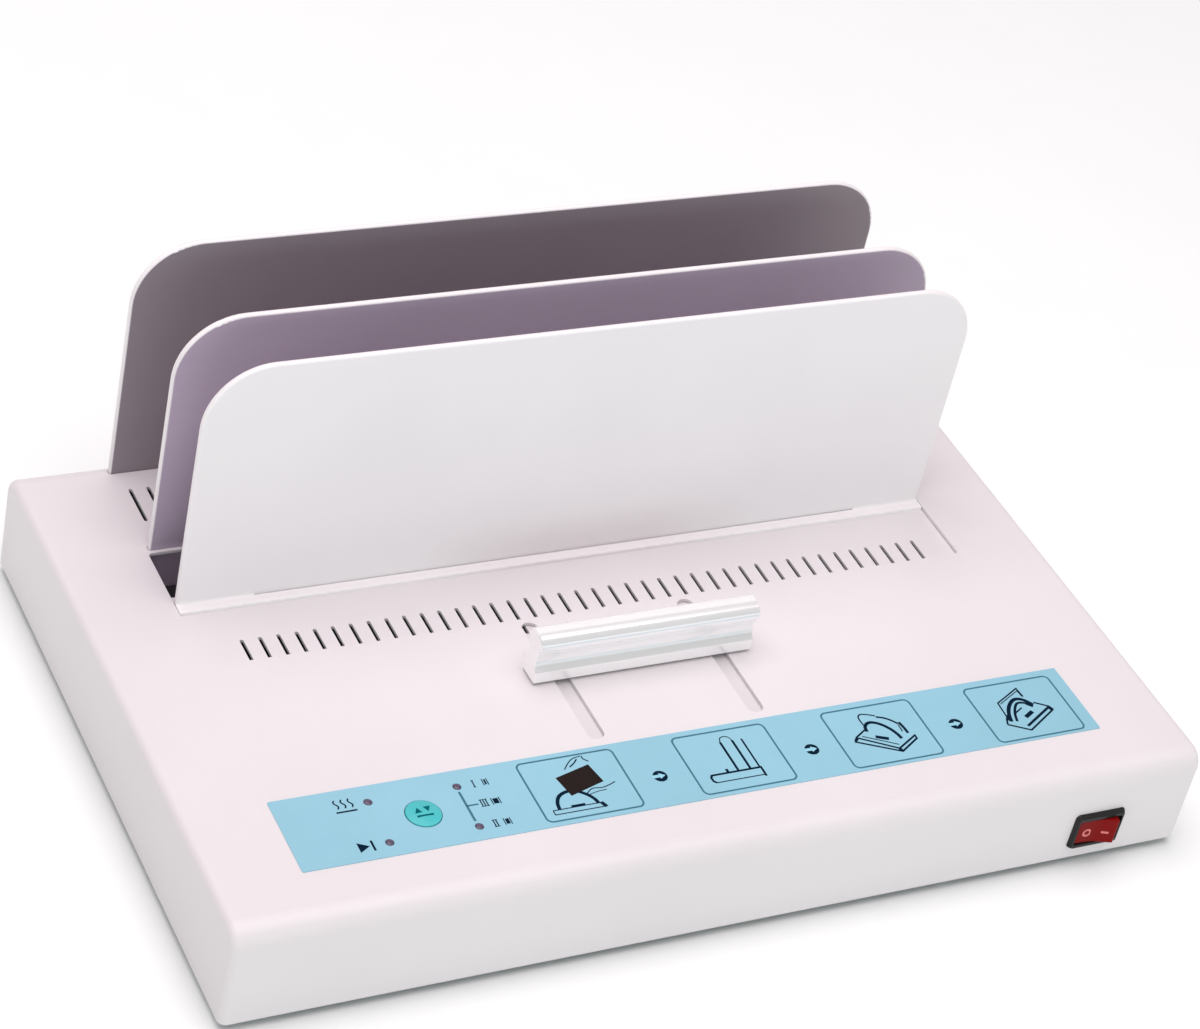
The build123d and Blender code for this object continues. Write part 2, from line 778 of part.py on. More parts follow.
def bracket_stud_y(face, side):
    """Depth of the studs, at the middle of the flat part of the bracket's level leg."""
    return behind(face + side * (angle_leg + angle_sheet + bracket_bend) / 2)


def stud_places():
    """Weld studs of both brackets on the cover's underside."""
    rows = [bracket_stud_y(middle_face + plate_sheet, 1), bracket_stud_y(rear_face, -1)]
    return [(x, y) for y in rows for x in stud_row()]


def hex_nut(z):
    """Hexagon nut with its upper face at the given height."""
    outline = RegularPolygon(nut_flats / 2, 6, major_radius=False)
    body = extrude(Pos(0, 0, z - nut_height) * outline, nut_height)
    return body - rod(0, 0, (z - nut_height - past, z + past), stud_diameter + 2 * thread_gap)


def weld_studs():
    """Studs welded under the cover for the brackets."""
    return group(rod(x, y, (under_z - stud_length, under_z), stud_diameter)
                 for x, y in stud_places())


def stud_nuts():
    """Nuts under the brackets."""
    return group(Pos(x, y, 0) * hex_nut(under_z - angle_sheet) for x, y in stud_places())


def plate_rivets():
    """Rivets that join the brackets to the two fixed plates."""
    rivets = []
    for face, side in ((middle_face + plate_sheet, 1), (rear_face, -1)):
        plate_side = behind(face - side * plate_sheet)
        bracket_side = behind(face + side * angle_sheet)
        crown = bracket_side + side * rivet_head_height
        for x in rivet_row():
            shank = bar_along_y(x, rivet_height(), sorted((plate_side, crown)), rivet_diameter)
            head = bar_along_y(x, rivet_height(), sorted((bracket_side, crown)), rivet_head)
            rivets.append(shank + head)
    return group(rivets)


# ---- Sliding jaw ----

def jaw_plate():
    """Upright jaw with a narrow foot bent towards the front along its lower edge."""
    face = behind(jaw_face)
    foot_top = panel_top + jaw_foot_sheet
    plate = upright_plate(jaw_length, jaw_face, panel_top, top_z + jaw_rise)
    strip = block((-jaw_length / 2, jaw_length / 2), (face - jaw_foot, face + plate_sheet / 2),
                  (panel_top, foot_top))
    nose = strip.edges().filter_by(Axis.X).group_by(Axis.Y)[0].group_by(Axis.Z)[-1]
    jaw = plate + fillet(nose, jaw_foot_round)
    inner = [e for e in jaw.edges().filter_by(Axis.X)
             if abs(e.center().Y - face) < near and abs(e.center().Z - foot_top) < near]
    jaw = fillet(inner, jaw_bend)
    half = jaw_length / 2 - crease_inset
    return jaw - block((-half, half), (face - crease_width, face),
                       (foot_top - crease_depth, foot_top + jaw_bend))


def slide_panel():
    """Flat carriage under the cover: it fills the well in front of the jaw."""
    z = (panel_under, panel_top)
    rear = behind(panel_rear)
    half = panel_lip_length / 2
    wings = rounded_slab(0, behind((panel_front + panel_rear) / 2), panel_width,
                         panel_rear - panel_front, z, panel_corner)
    square_back = block((-half, half), (rear - 2 * panel_corner, rear), z)
    tongue = rounded_slab(0, behind((tongue_front + panel_front) / 2 + panel_corner),
                          tongue_width, panel_front - tongue_front + 2 * panel_corner, z,
                          panel_corner)
    lip = block((-half, half), (rear - panel_sheet, rear), (panel_under - panel_lip, panel_top))
    panel = wings + square_back + tongue + lip
    bend = [e for e in panel.edges().filter_by(Axis.X)
            if abs(e.center().Y - rear) < near and abs(e.center().Z - panel_top) < near
            and abs(e.center().X) < near]
    panel = fillet(bend, panel_bend)
    through = (panel_under - past, panel_top + past)
    vents = [front_vent_shift + x for x in vent_row(front_vent_margin)]
    cutters = slot_cutters(vents, behind(front_vent_middle), vent_width, vent_length, through)
    cutters += [rod(x, y, through, screw_diameter + 2 * screw_hole_gap)
                for x, y in handle_screw_places()]
    sunk = rod(0, 0, through, sunk_diameter + 2 * thread_gap) + sunk_head_cone(thread_gap)
    cutters += [Pos(x, y, 0) * sunk for x, y in block_screw_places()]
    return panel - cutters


def handle_screw_places():
    """The two screws that carry the handle."""
    return [(x, behind(handle_middle)) for x in spread(2, handle_spacing)]


def handle_profile():
    """Half of the handle's spool-shaped section, mirrored about its middle."""
    base, waist, head = handle_half_base, handle_half_waist, handle_half_head
    low, high = handle_lift, handle_height
    flank = Line((base, low), (base, handle_base_rise))
    hollow = ThreePointArc((base, handle_base_rise), (waist, handle_waist_rise),
                           (head, handle_head_rise))
    neck = Line((head, handle_head_rise), (head, high))
    lid = Line((head, high), (0, high))
    keel = Line((0, low), (base, low))
    middle = Line((0, high), (0, low))
    half = make_face([keel, flank, hollow, neck, lid, middle])
    section = half + mirror(half, Plane.YZ)
    top = [v for v in section.vertices() if v.Y > high - near and abs(v.X) > near]
    section = fillet(top, handle_head_round)
    shoulders = [v for v in section.vertices()
                 if min(abs(v.Y - handle_base_rise), abs(v.Y - low)) < near < abs(v.X)]
    return fillet(shoulders, handle_base_round)


def handle():
    """Aluminium handle cut from a spool-shaped extrusion."""
    bar = extrude(Plane.YZ * handle_profile(), handle_length / 2, both=True)
    ends = [f for f in bar.faces() if abs(abs(f.center().X) - handle_length / 2) < near]
    bar = chamfer([e for f in ends for e in f.edges()], handle_end_break)
    bar = Pos(0, behind(handle_middle), top_z) * bar
    depth = (top_z + handle_lift - past, top_z + handle_waist_rise)
    return bar - [rod(x, y, depth, screw_diameter + 2 * thread_gap)
                  for x, y in handle_screw_places()]


def handle_spacers():
    """Collars that lift the handle off the panel, one in each slot."""
    z = (panel_top, top_z + handle_lift)
    bore = screw_diameter + 2 * screw_hole_gap
    return group(rod(x, y, z, spacer_diameter) - rod(x, y, z, bore)
                 for x, y in handle_screw_places())


def handle_screws():
    """Screws up through the panel and the collars into the handle."""
    screw = Rot(180, 0, 0) * pan_screw(top_z + handle_base_rise - panel_under)
    return group(Pos(x, y, panel_under) * screw for x, y in handle_screw_places())


# ---- Rails ----

def rail(side):
    """Polished steel rail along one side of the well."""
    ends = (behind(rail_front - rail_overhang), behind(rail_rear + rail_overhang))
    bar = bar_along_y(side * rail_x, rail_z, ends, rail_diameter)
    return chamfer(bar.edges().filter_by(GeomType.CIRCLE), rail_chamfer)


def slide_block(side, place):
    """Nylon block under the panel that runs on a rail."""
    half = block_width / 2
    x = side * rail_x
    y = (behind(place - block_length / 2), behind(place + block_length / 2))
    body = block((x - half, x + half), y, (rail_z - block_depth_below, panel_under))
    body = fillet(body.edges().filter_by(Axis.Y).group_by(Axis.Z)[0], block_round)
    bore = bar_along_y(x, rail_z, (y[0] - past, y[1] + past), rail_diameter + 2 * running_gap)
    hole = rod(x, behind(place), (panel_top - sunk_reach - sunk_tip_gap, panel_under + past),
               sunk_diameter + 2 * thread_gap)
    return body - bore - hole


def block_screw_places():
    """One screw down into each slide block."""
    return [(side * rail_x, behind(place))
            for side in (-1, 1) for place in (front_block, rear_block)]


def rail_bracket(side):
    """Sheet bracket on the base plate, with an ear at each end of the rail."""
    web_x = side * bracket_x
    toe_x = web_x - side * bracket_foot
    line = FilletPolyline((toe_x, floor_z), (web_x, floor_z), (web_x, rail_z + ear_strap / 2),
                          radius=bracket_sheet + bracket_bend)
    strip = make_face(offset(line, bracket_sheet, side=Side.LEFT if side > 0 else Side.RIGHT))
    half = (rail_rear - rail_front) / 2
    web = extrude(Plane.XZ * strip, half, both=True)
    web = Pos(0, behind((rail_front + rail_rear) / 2), 0) * web
    bracket = web + [ear(side, rail_front), ear(side, rail_rear - bracket_sheet)]
    holes = [rod(x, y, (floor_z - past, floor_z + bracket_sheet + past),
                 screw_diameter + 2 * screw_hole_gap)
             for x, y in rail_screw_places() if x * side > 0]
    return bracket - holes


def ear(side, start):
    """Round-nosed ear that holds one end of a rail."""
    reach = side * (bracket_x - rail_x)
    strap = Pos(reach / 2, 0) * Rectangle(abs(reach), ear_strap)
    outline = Circle(ear_radius) + strap - Circle(rail_diameter / 2 + thread_gap)
    plate = extrude(Plane.XZ * outline, -bracket_sheet)
    return Pos(side * rail_x, behind(start), rail_z) * plate


def rail_screw_places():
    """Two screws in the foot of each rail bracket."""
    x = bracket_x - bracket_foot / 2 - foot_screw_set
    middle = behind((rail_front + rail_rear) / 2)
    return [(x, middle + y) for x, y in corners(x, bracket_screw_pitch / 2)]


def rail_clips():
    """Snap rings outside the ears."""
    clips = []
    for side in (-1, 1):
        for start in (rail_front - clip_sheet, rail_rear):
            ring = Circle(clip_diameter / 2) - Circle(rail_diameter / 2 + thread_gap)
            ring -= Pos(0, -clip_diameter / 2) * Rectangle(clip_opening, clip_diameter)
            body = extrude(Plane.XZ * ring, -clip_sheet)
            clips.append(Pos(side * rail_x, behind(start), rail_z) * body)
    return group(clips)


def slide_screws():
    """Countersunk screws down through the panel into the slide blocks."""
    shank = rod(0, 0, (panel_top - sunk_reach, panel_top), sunk_diameter)
    screw = shank + sunk_head_cone(0)
    return group(Pos(x, y, 0) * screw for x, y in block_screw_places())


def sunk_head_cone(gap):
    """Cone of a countersunk head flush with the panel's top face, with a gap all round."""
    cone = Cone(sunk_diameter / 2 + gap, sunk_head / 2 + gap, sunk_depth)
    return Pos(0, 0, panel_top - sunk_depth / 2) * cone


def frame_screws():
    """Screws down into the base plate through the feet of the brackets and end walls."""
    rail_foot = pan_screw(bracket_sheet + base_sheet)
    wall_foot = pan_screw(end_wall_sheet + base_sheet)
    rails = [Pos(x, y, floor_z + bracket_sheet) * rail_foot for x, y in rail_screw_places()]
    walls = [Pos(x, y, floor_z + end_wall_sheet) * wall_foot
             for x, y in end_wall_screw_places()]
    return group(rails + walls)


# ---- Heating plate ----

def insulator_places():
    """Centres of the four ceramic insulators."""
    return [(x, behind(platen_middle + y)) for x, y in corners(insulator_x, insulator_y)]


def clamp_screw_places():
    """Screws that hold the clamp plate up against the heating plate."""
    outer = corners(clamp_screw_x, clamp_screw_y)
    inner = corners(clamp_screw_x - clamp_screw_step, clamp_screw_y)
    return [(x, behind(platen_middle + y)) for x, y in outer + inner]


def heating_plate():
    """Thick aluminium plate that the spines of the covers stand on."""
    plate = block((-platen_length / 2, platen_length / 2),
                  (behind(platen_front), behind(platen_rear)), (platen_under, platen_top))
    upper = plate.edges().group_by(Axis.Z)[-1].filter_by(Axis.X)
    plate = fillet(upper, platen_edge)
    depth = (platen_under - past, platen_top - blind_floor)
    threads = [rod(x, y, depth, screw_diameter + 2 * thread_gap)
               for x, y in insulator_places() + clamp_screw_places()]
    return plate - threads


def heating_element():
    """Flat mica heater under the heating plate, with holes for the clamp screws."""
    z = (platen_under - element_sheet, platen_under)
    sheet = rounded_slab(0, behind(platen_middle), element_length, element_width, z,
                         element_corner)
    holes = [rod(x, y, (z[0] - past, z[1] + past), screw_diameter + 2 * element_hole_gap)
             for x, y in clamp_screw_places() if abs(x) < element_length / 2]
    return sheet - holes


def heater_clamp():
    """Steel plate that presses the heater flat, with a step at each end."""
    z_top = platen_under - element_sheet
    middle = behind(platen_middle)
    sheet = rounded_slab(0, middle, clamp_length, clamp_width, (clamp_under, z_top),
                         clamp_corner)
    inner = element_length / 2 + element_end_gap
    half = clamp_width / 2 - clamp_corner
    raised = [block(sorted((side * inner, side * clamp_length / 2)),
                    (middle - half, middle + half), (z_top, platen_under)) for side in (-1, 1)]
    holes = [rod(x, y, (clamp_under - past, platen_under + past),
                 screw_diameter + 2 * screw_hole_gap) for x, y in clamp_screw_places()]
    return (sheet + raised) - holes


def clamp_screws():
    """Screws up through the clamp plate into the heating plate."""
    screw = Rot(180, 0, 0) * pan_screw(element_sheet + clamp_sheet + clamp_screw_grip)
    return group(Pos(x, y, clamp_under) * screw for x, y in clamp_screw_places())


def insulators():
    """Ceramic stand-offs that hold the heating plate above the base."""
    z = (floor_z, platen_under)
    bore = (floor_z - past, platen_under + past)
    tubes = []
    for x, y in insulator_places():
        tube = rod(x, y, z, insulator_diameter)
        tube = chamfer(tube.edges().filter_by(GeomType.CIRCLE), insulator_chamfer)
        tubes.append(tube - rod(x, y, bore, screw_diameter + 2 * screw_hole_gap))
    return group(tubes)


def heating_plate_screws():
    """Long screws from below the base, through the insulators, into the heating plate."""
    screw = Rot(180, 0, 0) * pan_screw(platen_under - base_z + insulator_screw_grip)
    return group(Pos(x, y, base_z) * screw for x, y in insulator_places())


def thermostat():
    """Round snap-disc thermostat under the clamp plate, with its ring and two tabs."""
    y = behind(platen_middle)
    z = clamp_under
    cap_z = z - thermostat_cap
    low = z - thermostat_height
    ring = extrude(Pos(thermostat_x, y, z - thermostat_ring_sheet)
                   * SlotOverall(thermostat_ring_length, thermostat_ring_width),
                   thermostat_ring_sheet)
    cap = rod(thermostat_x, y, (cap_z, z), thermostat_diameter)
    body = rod(thermostat_x, y, (low, cap_z), thermostat_diameter - 2 * thermostat_waist)
    half = (tab_pair_length / 2, tab_pair_width / 2)
    tabs = block((thermostat_x - half[0], thermostat_x + half[0]), (y - half[1], y + half[1]),
                 (low + tab_pair_lift, low + tab_pair_lift + tab_sheet))
    eyes = [rod(thermostat_x + dx, y, (z - thermostat_ring_sheet - past, z + past),
                thermostat_hole) for dx in spread(2, thermostat_spacing)]
    return (ring + cap + body + tabs) - eyes


def thermal_fuse():
    """Thermal cut-off held under the clamp plate by a sheet saddle."""
    y = behind(platen_middle)
    radius = fuse_diameter / 2
    axis_z = clamp_under - radius
    half = fuse_length / 2
    link = bar_along_x(y, axis_z, (fuse_x - half, fuse_x + half), fuse_diameter)
    reach = half + fuse_lead
    leads = bar_along_x(y, axis_z, (fuse_x - reach, fuse_x + reach), fuse_wire)
    inner = radius + thread_gap
    outer = inner + saddle_sheet
    ring = Circle(outer) - Circle(inner)
    sides = Pos(0, radius / 2) * (Rectangle(2 * outer, radius) - Rectangle(2 * inner, radius))
    lower = ring - Pos(0, outer) * Rectangle(3 * outer, 2 * outer)
    wings = [Pos(side * (outer + (saddle_wing - saddle_sheet) / 2), radius - saddle_sheet / 2)
             * Rectangle(saddle_wing + saddle_sheet, saddle_sheet) for side in (-1, 1)]
    strap = extrude(Plane.YZ * (lower + sides + wings), saddle_length / 2, both=True)
    return group([link + leads, Pos(fuse_x, y, axis_z) * strap])


def end_wall(side):
    """Sheet wall that closes one end of the well, with a foot turned under the plate."""
    inner = side * (platen_length / 2 + end_wall_clear)
    outer = inner + side * end_wall_sheet
    line = FilletPolyline((inner - side * end_wall_foot, floor_z), (outer, floor_z),
                          (outer, panel_under - end_wall_gap),
                          radius=end_wall_sheet + end_wall_bend)
    strip = make_face(offset(line, end_wall_sheet, side=Side.LEFT if side > 0 else Side.RIGHT))
    half = platen_middle - well_front
    wall = Pos(0, behind(platen_middle), 0) * extrude(Plane.XZ * strip, half, both=True)
    bend_top = floor_z + end_wall_sheet + end_wall_bend
    half_foot = end_wall_foot_length / 2
    beside_foot = [block(sorted((0, side * housing_width)),
                         (behind(platen_middle + start), behind(platen_middle + end)),
                         (floor_z - past, bend_top + past))
                   for start, end in ((-half - past, -half_foot), (half_foot, half + past))]
    holes = [rod(x, y, (floor_z - past, bend_top), screw_diameter + 2 * screw_hole_gap)
             for x, y in end_wall_screw_places()]
    return wall - beside_foot - holes


def end_wall_screw_places():
    """Two screws in the foot of each end wall."""
    x = platen_length / 2 + end_wall_clear - end_wall_foot / 2 - foot_screw_set
    return [(x, behind(platen_middle + y)) for x, y in corners(x, end_wall_screw_pitch / 2)]


# ---- Operating panel ----

def lamp_places():
    """The four indicator lamps."""
    return [(key_x + side * lamp_spread, behind(y))
            for side in (-1, 1) for y in (lamp_front, lamp_front + lamp_pitch)]


def panel_overlay():
    """Printed film on the cover in front of the well."""
    film = rounded_slab(overlay_left + overlay_length / 2, behind(overlay_middle),
                        overlay_length, overlay_depth, (top_z, overlay_top), overlay_corner)
    through = (top_z - past, overlay_top + past)
    holes = [rod(x, y, through, lamp_diameter + 2 * lamp_gap) for x, y in lamp_places()]
    holes.append(rod(key_x, behind(key_middle), through, key_diameter + 2 * key_gap))
    return film - holes


def select_button():
    """Round key with a domed crown, a flange under the cover and a stem to its switch."""
    radius, flange, stem = key_diameter / 2, key_flange / 2, key_stem / 2
    crown = overlay_top + key_rise
    shoulder = crown - key_dome
    flange_under = under_z - key_flange_sheet
    stem_end = control_top + tact_height + plunger_gap + key_travel
    side = Polyline((0, stem_end), (stem, stem_end), (stem, flange_under),
                    (flange, flange_under), (flange, under_z), (radius, under_z),
                    (radius, shoulder))
    dome = ThreePointArc((radius, shoulder), (radius / 2, crown - key_dome / 4), (0, crown))
    axis = Line((0, crown), (0, stem_end))
    key = revolve(Plane.XZ * make_face([side, dome, axis]), Axis.Z)
    rim = [e for e in key.edges().filter_by(GeomType.CIRCLE)
           if abs(e.center().Z - shoulder) < near]
    return Pos(key_x, behind(key_middle), 0) * fillet(rim, key_rim)


def indicator_lamps():
    """Four light guides with domed ends, standing on the control board."""
    lamps = []
    for x, y in lamp_places():
        stem = rod(x, y, (control_top, overlay_top), lamp_diameter)
        collar = rod(x, y, (control_top, control_top + lamp_collar_height), lamp_collar)
        dome = scale(Sphere(lamp_diameter / 2), (1, 1, lamp_crown / (lamp_diameter / 2)))
        lamps.append(stem + collar + Pos(x, y, overlay_top) * dome)
    return group(lamps)


def control_places():
    """Stand-offs of the control board."""
    half_x = control_board_length / 2 - board_stud_inset
    half_y = control_board_depth / 2 - board_stud_inset
    return [(key_x + x, behind(key_middle + y)) for x, y in corners(half_x, half_y)]


def control_board():
    """Small board under the operating panel, with its driver chip and a plug."""
    x, y = key_x, behind(key_middle)
    low = control_top - board_sheet
    board = rounded_slab(x, y, control_board_length, control_board_depth, (low, control_top),
                         board_corner)
    chip = centred_block(x - chip_shift, y, chip_size, chip_size, (low - chip_height, low))
    plug = centred_block(x + chip_shift, y, plug_length, plug_depth, (low - plug_height, low))
    plug -= centred_block(x + chip_shift, y, plug_length - 2 * plug_wall,
                          plug_depth - 2 * plug_wall,
                          (low - plug_height - past, low - plug_wall))
    holes = [rod(px, py, (low - past, control_top + past), screw_diameter + 2 * screw_hole_gap)
             for px, py in control_places()]
    return (board + chip + plug) - holes


def control_posts():
    """Threaded stand-offs welded under the cover for the control board."""
    z = (control_top, under_z)
    bore = (control_top - past, under_z - blind_floor)
    return group(rod(x, y, z, control_post_diameter)
                 - rod(x, y, bore, screw_diameter + 2 * thread_gap)
                 for x, y in control_places())


def tact_switch():
    """Push switch under the round key."""
    x, y = key_x, behind(key_middle)
    body = centred_block(x, y, tact_size, tact_size,
                         (control_top, control_top + tact_height - plunger_stroke))
    body = chamfer(body.edges().filter_by(Axis.Z), tact_corner)
    return body + rod(x, y, (control_top, control_top + tact_height), plunger_diameter)


# ---- Power board ----

def power_stud_places():
    """Stand-offs of the power board."""
    half_x = power_board_length / 2 - board_stud_inset
    half_y = power_board_depth / 2 - board_stud_inset
    return [(power_board_x + x, behind(power_board_middle + y))
            for x, y in corners(half_x, half_y)]


def on_power_board(from_right, from_front):
    """Place on the power board, from its right and its front edge."""
    return (power_board_x + power_board_length / 2 - from_right,
            behind(power_board_set + from_front))


def power_board():
    """Board with the mains supply, its capacitors and its fuse."""
    z = (power_top - board_sheet, power_top)
    x, y = power_board_x + can_shift, behind(power_board_middle)
    board = rounded_slab(power_board_x, y, power_board_length, power_board_depth, z,
                         board_corner)
    cans = [rod(x, y - can_pitch + dy, (power_top, power_top + can_height), can_diameter)
            for dy in spread(2, can_pitch)]
    tube_y = behind(power_board_set + power_board_depth - fuse_tube_set)
    tube_z = power_top + fuse_tube_lift + fuse_tube_diameter / 2
    half = fuse_tube_length / 2
    tube = bar_along_x(tube_y, tube_z, (x - half, x + half), fuse_tube_diameter)
    clips = [centred_block(x + dx, tube_y, fuse_clip_width, fuse_clip_depth,
                           (power_top, power_top + fuse_clip_height))
             for dx in spread(2, fuse_tube_length - fuse_clip_width)]
    holes = [rod(px, py, (z[0] - past, z[1] + past), screw_diameter + 2 * screw_hole_gap)
             for px, py in power_stud_places()]
    return board + cans + tube + clips - holes


def power_posts():
    """Stand-offs between the base plate and the power board."""
    z = (floor_z, power_top - board_sheet)
    bore = (z[0] - past, z[1] + past)
    return group(rod(x, y, z, power_post_diameter)
                 - rod(x, y, bore, screw_diameter + 2 * screw_hole_gap)
                 for x, y in power_stud_places())


def board_screws():
    """Screws of both boards: up into the control posts, down through the power posts."""
    up = Rot(180, 0, 0) * pan_screw(board_sheet + control_screw_grip)
    down = pan_screw(board_sheet + power_board_lift + base_sheet)
    screws = [Pos(x, y, control_top - board_sheet) * up for x, y in control_places()]
    screws += [Pos(x, y, power_top) * down for x, y in power_stud_places()]
    return group(screws)


def transformer():
    """Mains transformer: a laminated core with its flanged coil."""
    x, y = on_power_board(power_board_length - transformer_inset, power_board_depth / 2)
    low = power_top + core_lift
    high = low + core_height
    core = centred_block(x, y, core_length, core_depth, (low, high))
    outline = RectangleRounded(coil_length, coil_height, coil_corner)
    coil = extrude(Plane.XZ * outline, coil_depth / 2 - coil_flange / 2, both=True)
    flanges = [centred_block(x, y + dy, coil_length + 2 * coil_flange, coil_flange,
                             (power_top, high)) for dy in spread(2, coil_depth - coil_flange)]
    return core + Pos(x, y, (low + high) / 2) * coil + flanges


def relay():
    """Relay that switches the heater."""
    x, y = on_power_board(relay_inset, power_board_depth - relay_set)
    low = power_top + relay_lift
    body = centred_block(x, y, relay_length, relay_depth, (low, low + relay_height))
    rim = body.edges().filter_by(Axis.Z) + body.edges().group_by(Axis.Z)[-1]
    return fillet(rim, relay_edge)


def terminal_block():
    """Screw terminals for the mains and heater leads."""
    x, y = on_power_board(terminal_inset, terminal_set)
    places = spread(terminal_count, terminal_pitch)
    half, step, high = terminal_half, terminal_step, terminal_height
    outline = Polyline((-half, 0), (half, 0), (half, step), (terminal_crown, high),
                       (-half, high), close=True)
    body = extrude(Plane.YZ * make_face(outline), terminal_count * terminal_pitch / 2,
                   both=True)
    for dx in places:
        body -= rod(dx, -well_offset, (well_floor, high + past), well_diameter)
        body -= centred_block(dx, half, mouth_width, 2 * mouth_depth,
                              (mouth_lift, mouth_lift + mouth_height))
    for dx in places:
        grub = rod(dx, -well_offset, (well_floor - past, grub_top), grub_diameter)
        body += grub - centred_block(dx, -well_offset, grub_diameter + past, grub_slot,
                                     (grub_top - grub_slot, grub_top + past))
    return Pos(x, y, power_top) * body


# ---- Rocker switch ----

def switch_pivot():
    """Middle of the rocker's pivot."""
    return Pos(switch_x, front_y + pivot_depth, base_z + switch_rise)


def rocker_switch_body():
    """Snap-in switch housing with its sloped bezel, its hollow and two spring catches."""
    half_x, half_z = switch_body_length / 2, switch_body_height / 2
    outline = RectangleRounded(bezel_length, bezel_height, bezel_corner)
    front = RectangleRounded(bezel_length - 2 * bezel_slope, bezel_height - 2 * bezel_slope,
                             bezel_corner - bezel_slope)
    bezel = extrude(Plane.XZ * outline, bezel_land)
    bezel += loft([Plane.XZ.offset(bezel_land) * outline, Plane.XZ.offset(bezel_depth) * front])
    box = block((-half_x, half_x), (0, switch_body_depth), (-half_z, half_z))
    box = fillet(box.edges().filter_by(Axis.Y), switch_body_corner)
    mouth_height = rocker_height + 2 * rocker_side_gap
    mouth = rocker_space(rocker_mouth_gap, mouth_height, -bezel_depth, -bezel_floor)
    hollow = rocker_space(rocker_body_gap, mouth_height, -bezel_depth, switch_cavity_depth)
    body = (bezel + box) - mouth - hollow
    start = cover_sheet + catch_gap
    wedge = Polyline((-switch_body_corner, start), (0, start), (catch_reach, start + catch_lead),
                     (0, start + catch_length), (-switch_body_corner, start + catch_length),
                     close=True)
    catch = extrude(make_face(wedge), catch_width / 2, both=True)
    catch = Pos(half_x, 0, 0) * catch - hollow
    body += [catch, mirror(catch, Plane.YZ)]
    seat = Cylinder(trunnion_diameter / 2 + running_gap,
                    rocker_height + 2 * (trunnion_length + running_gap))
    body -= Pos(0, pivot_depth, 0) * seat
    body -= [Pos(dx, switch_body_depth, 0)
             * Box(tab_sheet + 2 * tab_slit_gap, 2 * tab_root, tab_width + 2 * tab_slit_gap)
             for dx in (-tab_spread, tab_spread)]
    return Pos(switch_x, front_y, base_z + switch_rise) * body


def rocker_space(end_gap, height, start, end):
    """Space round the rocker between two depths, with a gap at the rocker's ends."""
    outline = RectangleRounded(rocker_length + 2 * end_gap, height, switch_body_corner)
    return Pos(0, end, 0) * extrude(Plane.XZ * outline, end - start)


def rocker():
    """Rocker with a shallow valley between its ends, tilted to its off position."""
    half, reach, keel = rocker_length / 2, rocker_reach, rocker_keel_half
    outline = Polyline((-half, rocker_skirt), (-half, -reach), (0, -rocker_valley),
                       (half, -reach), (half, rocker_skirt), (keel, rocker_keel),
                       (-keel, rocker_keel), close=True)
    face = make_face(outline)
    ends = [v for v in face.vertices() if abs(v.X) > half - near and v.Y < 0]
    face = fillet(ends, rocker_corner)
    valley = [v for v in face.vertices() if abs(v.X) < near and v.Y < 0]
    face = fillet(valley, rocker_hollow)
    body = extrude(face, rocker_height / 2, both=True)
    crown = [e for e in body.edges()
             if e.center().Y < -rocker_valley / 2 and abs(e.center().Z) > near]
    body = fillet(crown, rocker_edge)
    pins = Cylinder(trunnion_diameter / 2, rocker_height + 2 * trunnion_length)
    return switch_pivot() * (Rot(0, 0, -rocker_tilt) * (body + pins))


def rocker_terminals():
    """Two flat tabs out of the back of the switch."""
    z = base_z + switch_rise
    rear = front_y + switch_body_depth
    tabs = []
    for dx in (-tab_spread, tab_spread):
        x = switch_x + dx
        tab = block((x - tab_sheet / 2, x + tab_sheet / 2), (rear - tab_root, rear + tab_length),
                    (z - tab_width / 2, z + tab_width / 2))
        tab -= bar_along_x(rear + tab_length / 2, z, (x - past, x + past), tab_eye)
        tabs.append(chamfer(tab.edges().filter_by(Axis.X).group_by(Axis.Y)[-1], tab_sheet))
    return group(tabs)


# ---- Power inlet ----

def inlet_outline(length, height, cut):
    """Socket outline: a rectangle with its two lower corners cut off."""
    half_x, half_z = length / 2, height / 2
    line = Polyline((-half_x, half_z), (-half_x, -half_z + cut), (-half_x + cut, -half_z),
                    (half_x - cut, -half_z), (half_x, -half_z + cut), (half_x, half_z),
                    close=True)
    face = make_face(line)
    return fillet(face.vertices(), inlet_mouth_round)


def power_inlet():
    """Mains socket with a screw flange, set in the back wall from outside."""
    z = base_z + inlet_rise
    plate = RectangleRounded(inlet_flange_length, inlet_flange_height, inlet_flange_corner)
    flange = extrude(Plane.XZ * plate, -inlet_flange_depth)
    flange = fillet(flange.edges().group_by(Axis.Y)[-1], inlet_flange_edge)
    shell = RectangleRounded(inlet_body_length, inlet_body_height, inlet_body_corner)
    socket = flange + extrude(Plane.XZ * shell, inlet_body_depth)
    mouth = inlet_outline(inlet_body_length - 2 * inlet_wall,
                          inlet_body_height - 2 * inlet_wall, inlet_key)
    depth = inlet_body_depth + inlet_flange_depth - inlet_floor
    socket -= Pos(0, inlet_flange_depth, 0) * extrude(Plane.XZ * mouth, depth)
    for dx in spread(2, inlet_screw_spacing):
        socket -= bar_along_y(dx, 0, (-past, inlet_flange_depth + past),
                              screw_diameter + 2 * screw_hole_gap)
    for dx, dz in pin_places():
        slit = Box(pin_sheet + 2 * tab_slit_gap, inlet_body_depth, pin_width + 2 * tab_slit_gap)
        socket -= Pos(dx, -inlet_body_depth, dz) * slit
    return Pos(inlet_x, rear_y, z) * socket


def pin_places():
    """Live, neutral and earth pins about the middle of the inlet."""
    half = pin_spacing / 2
    return [(-half, -earth_offset / 2), (0, earth_offset / 2), (half, -earth_offset / 2)]


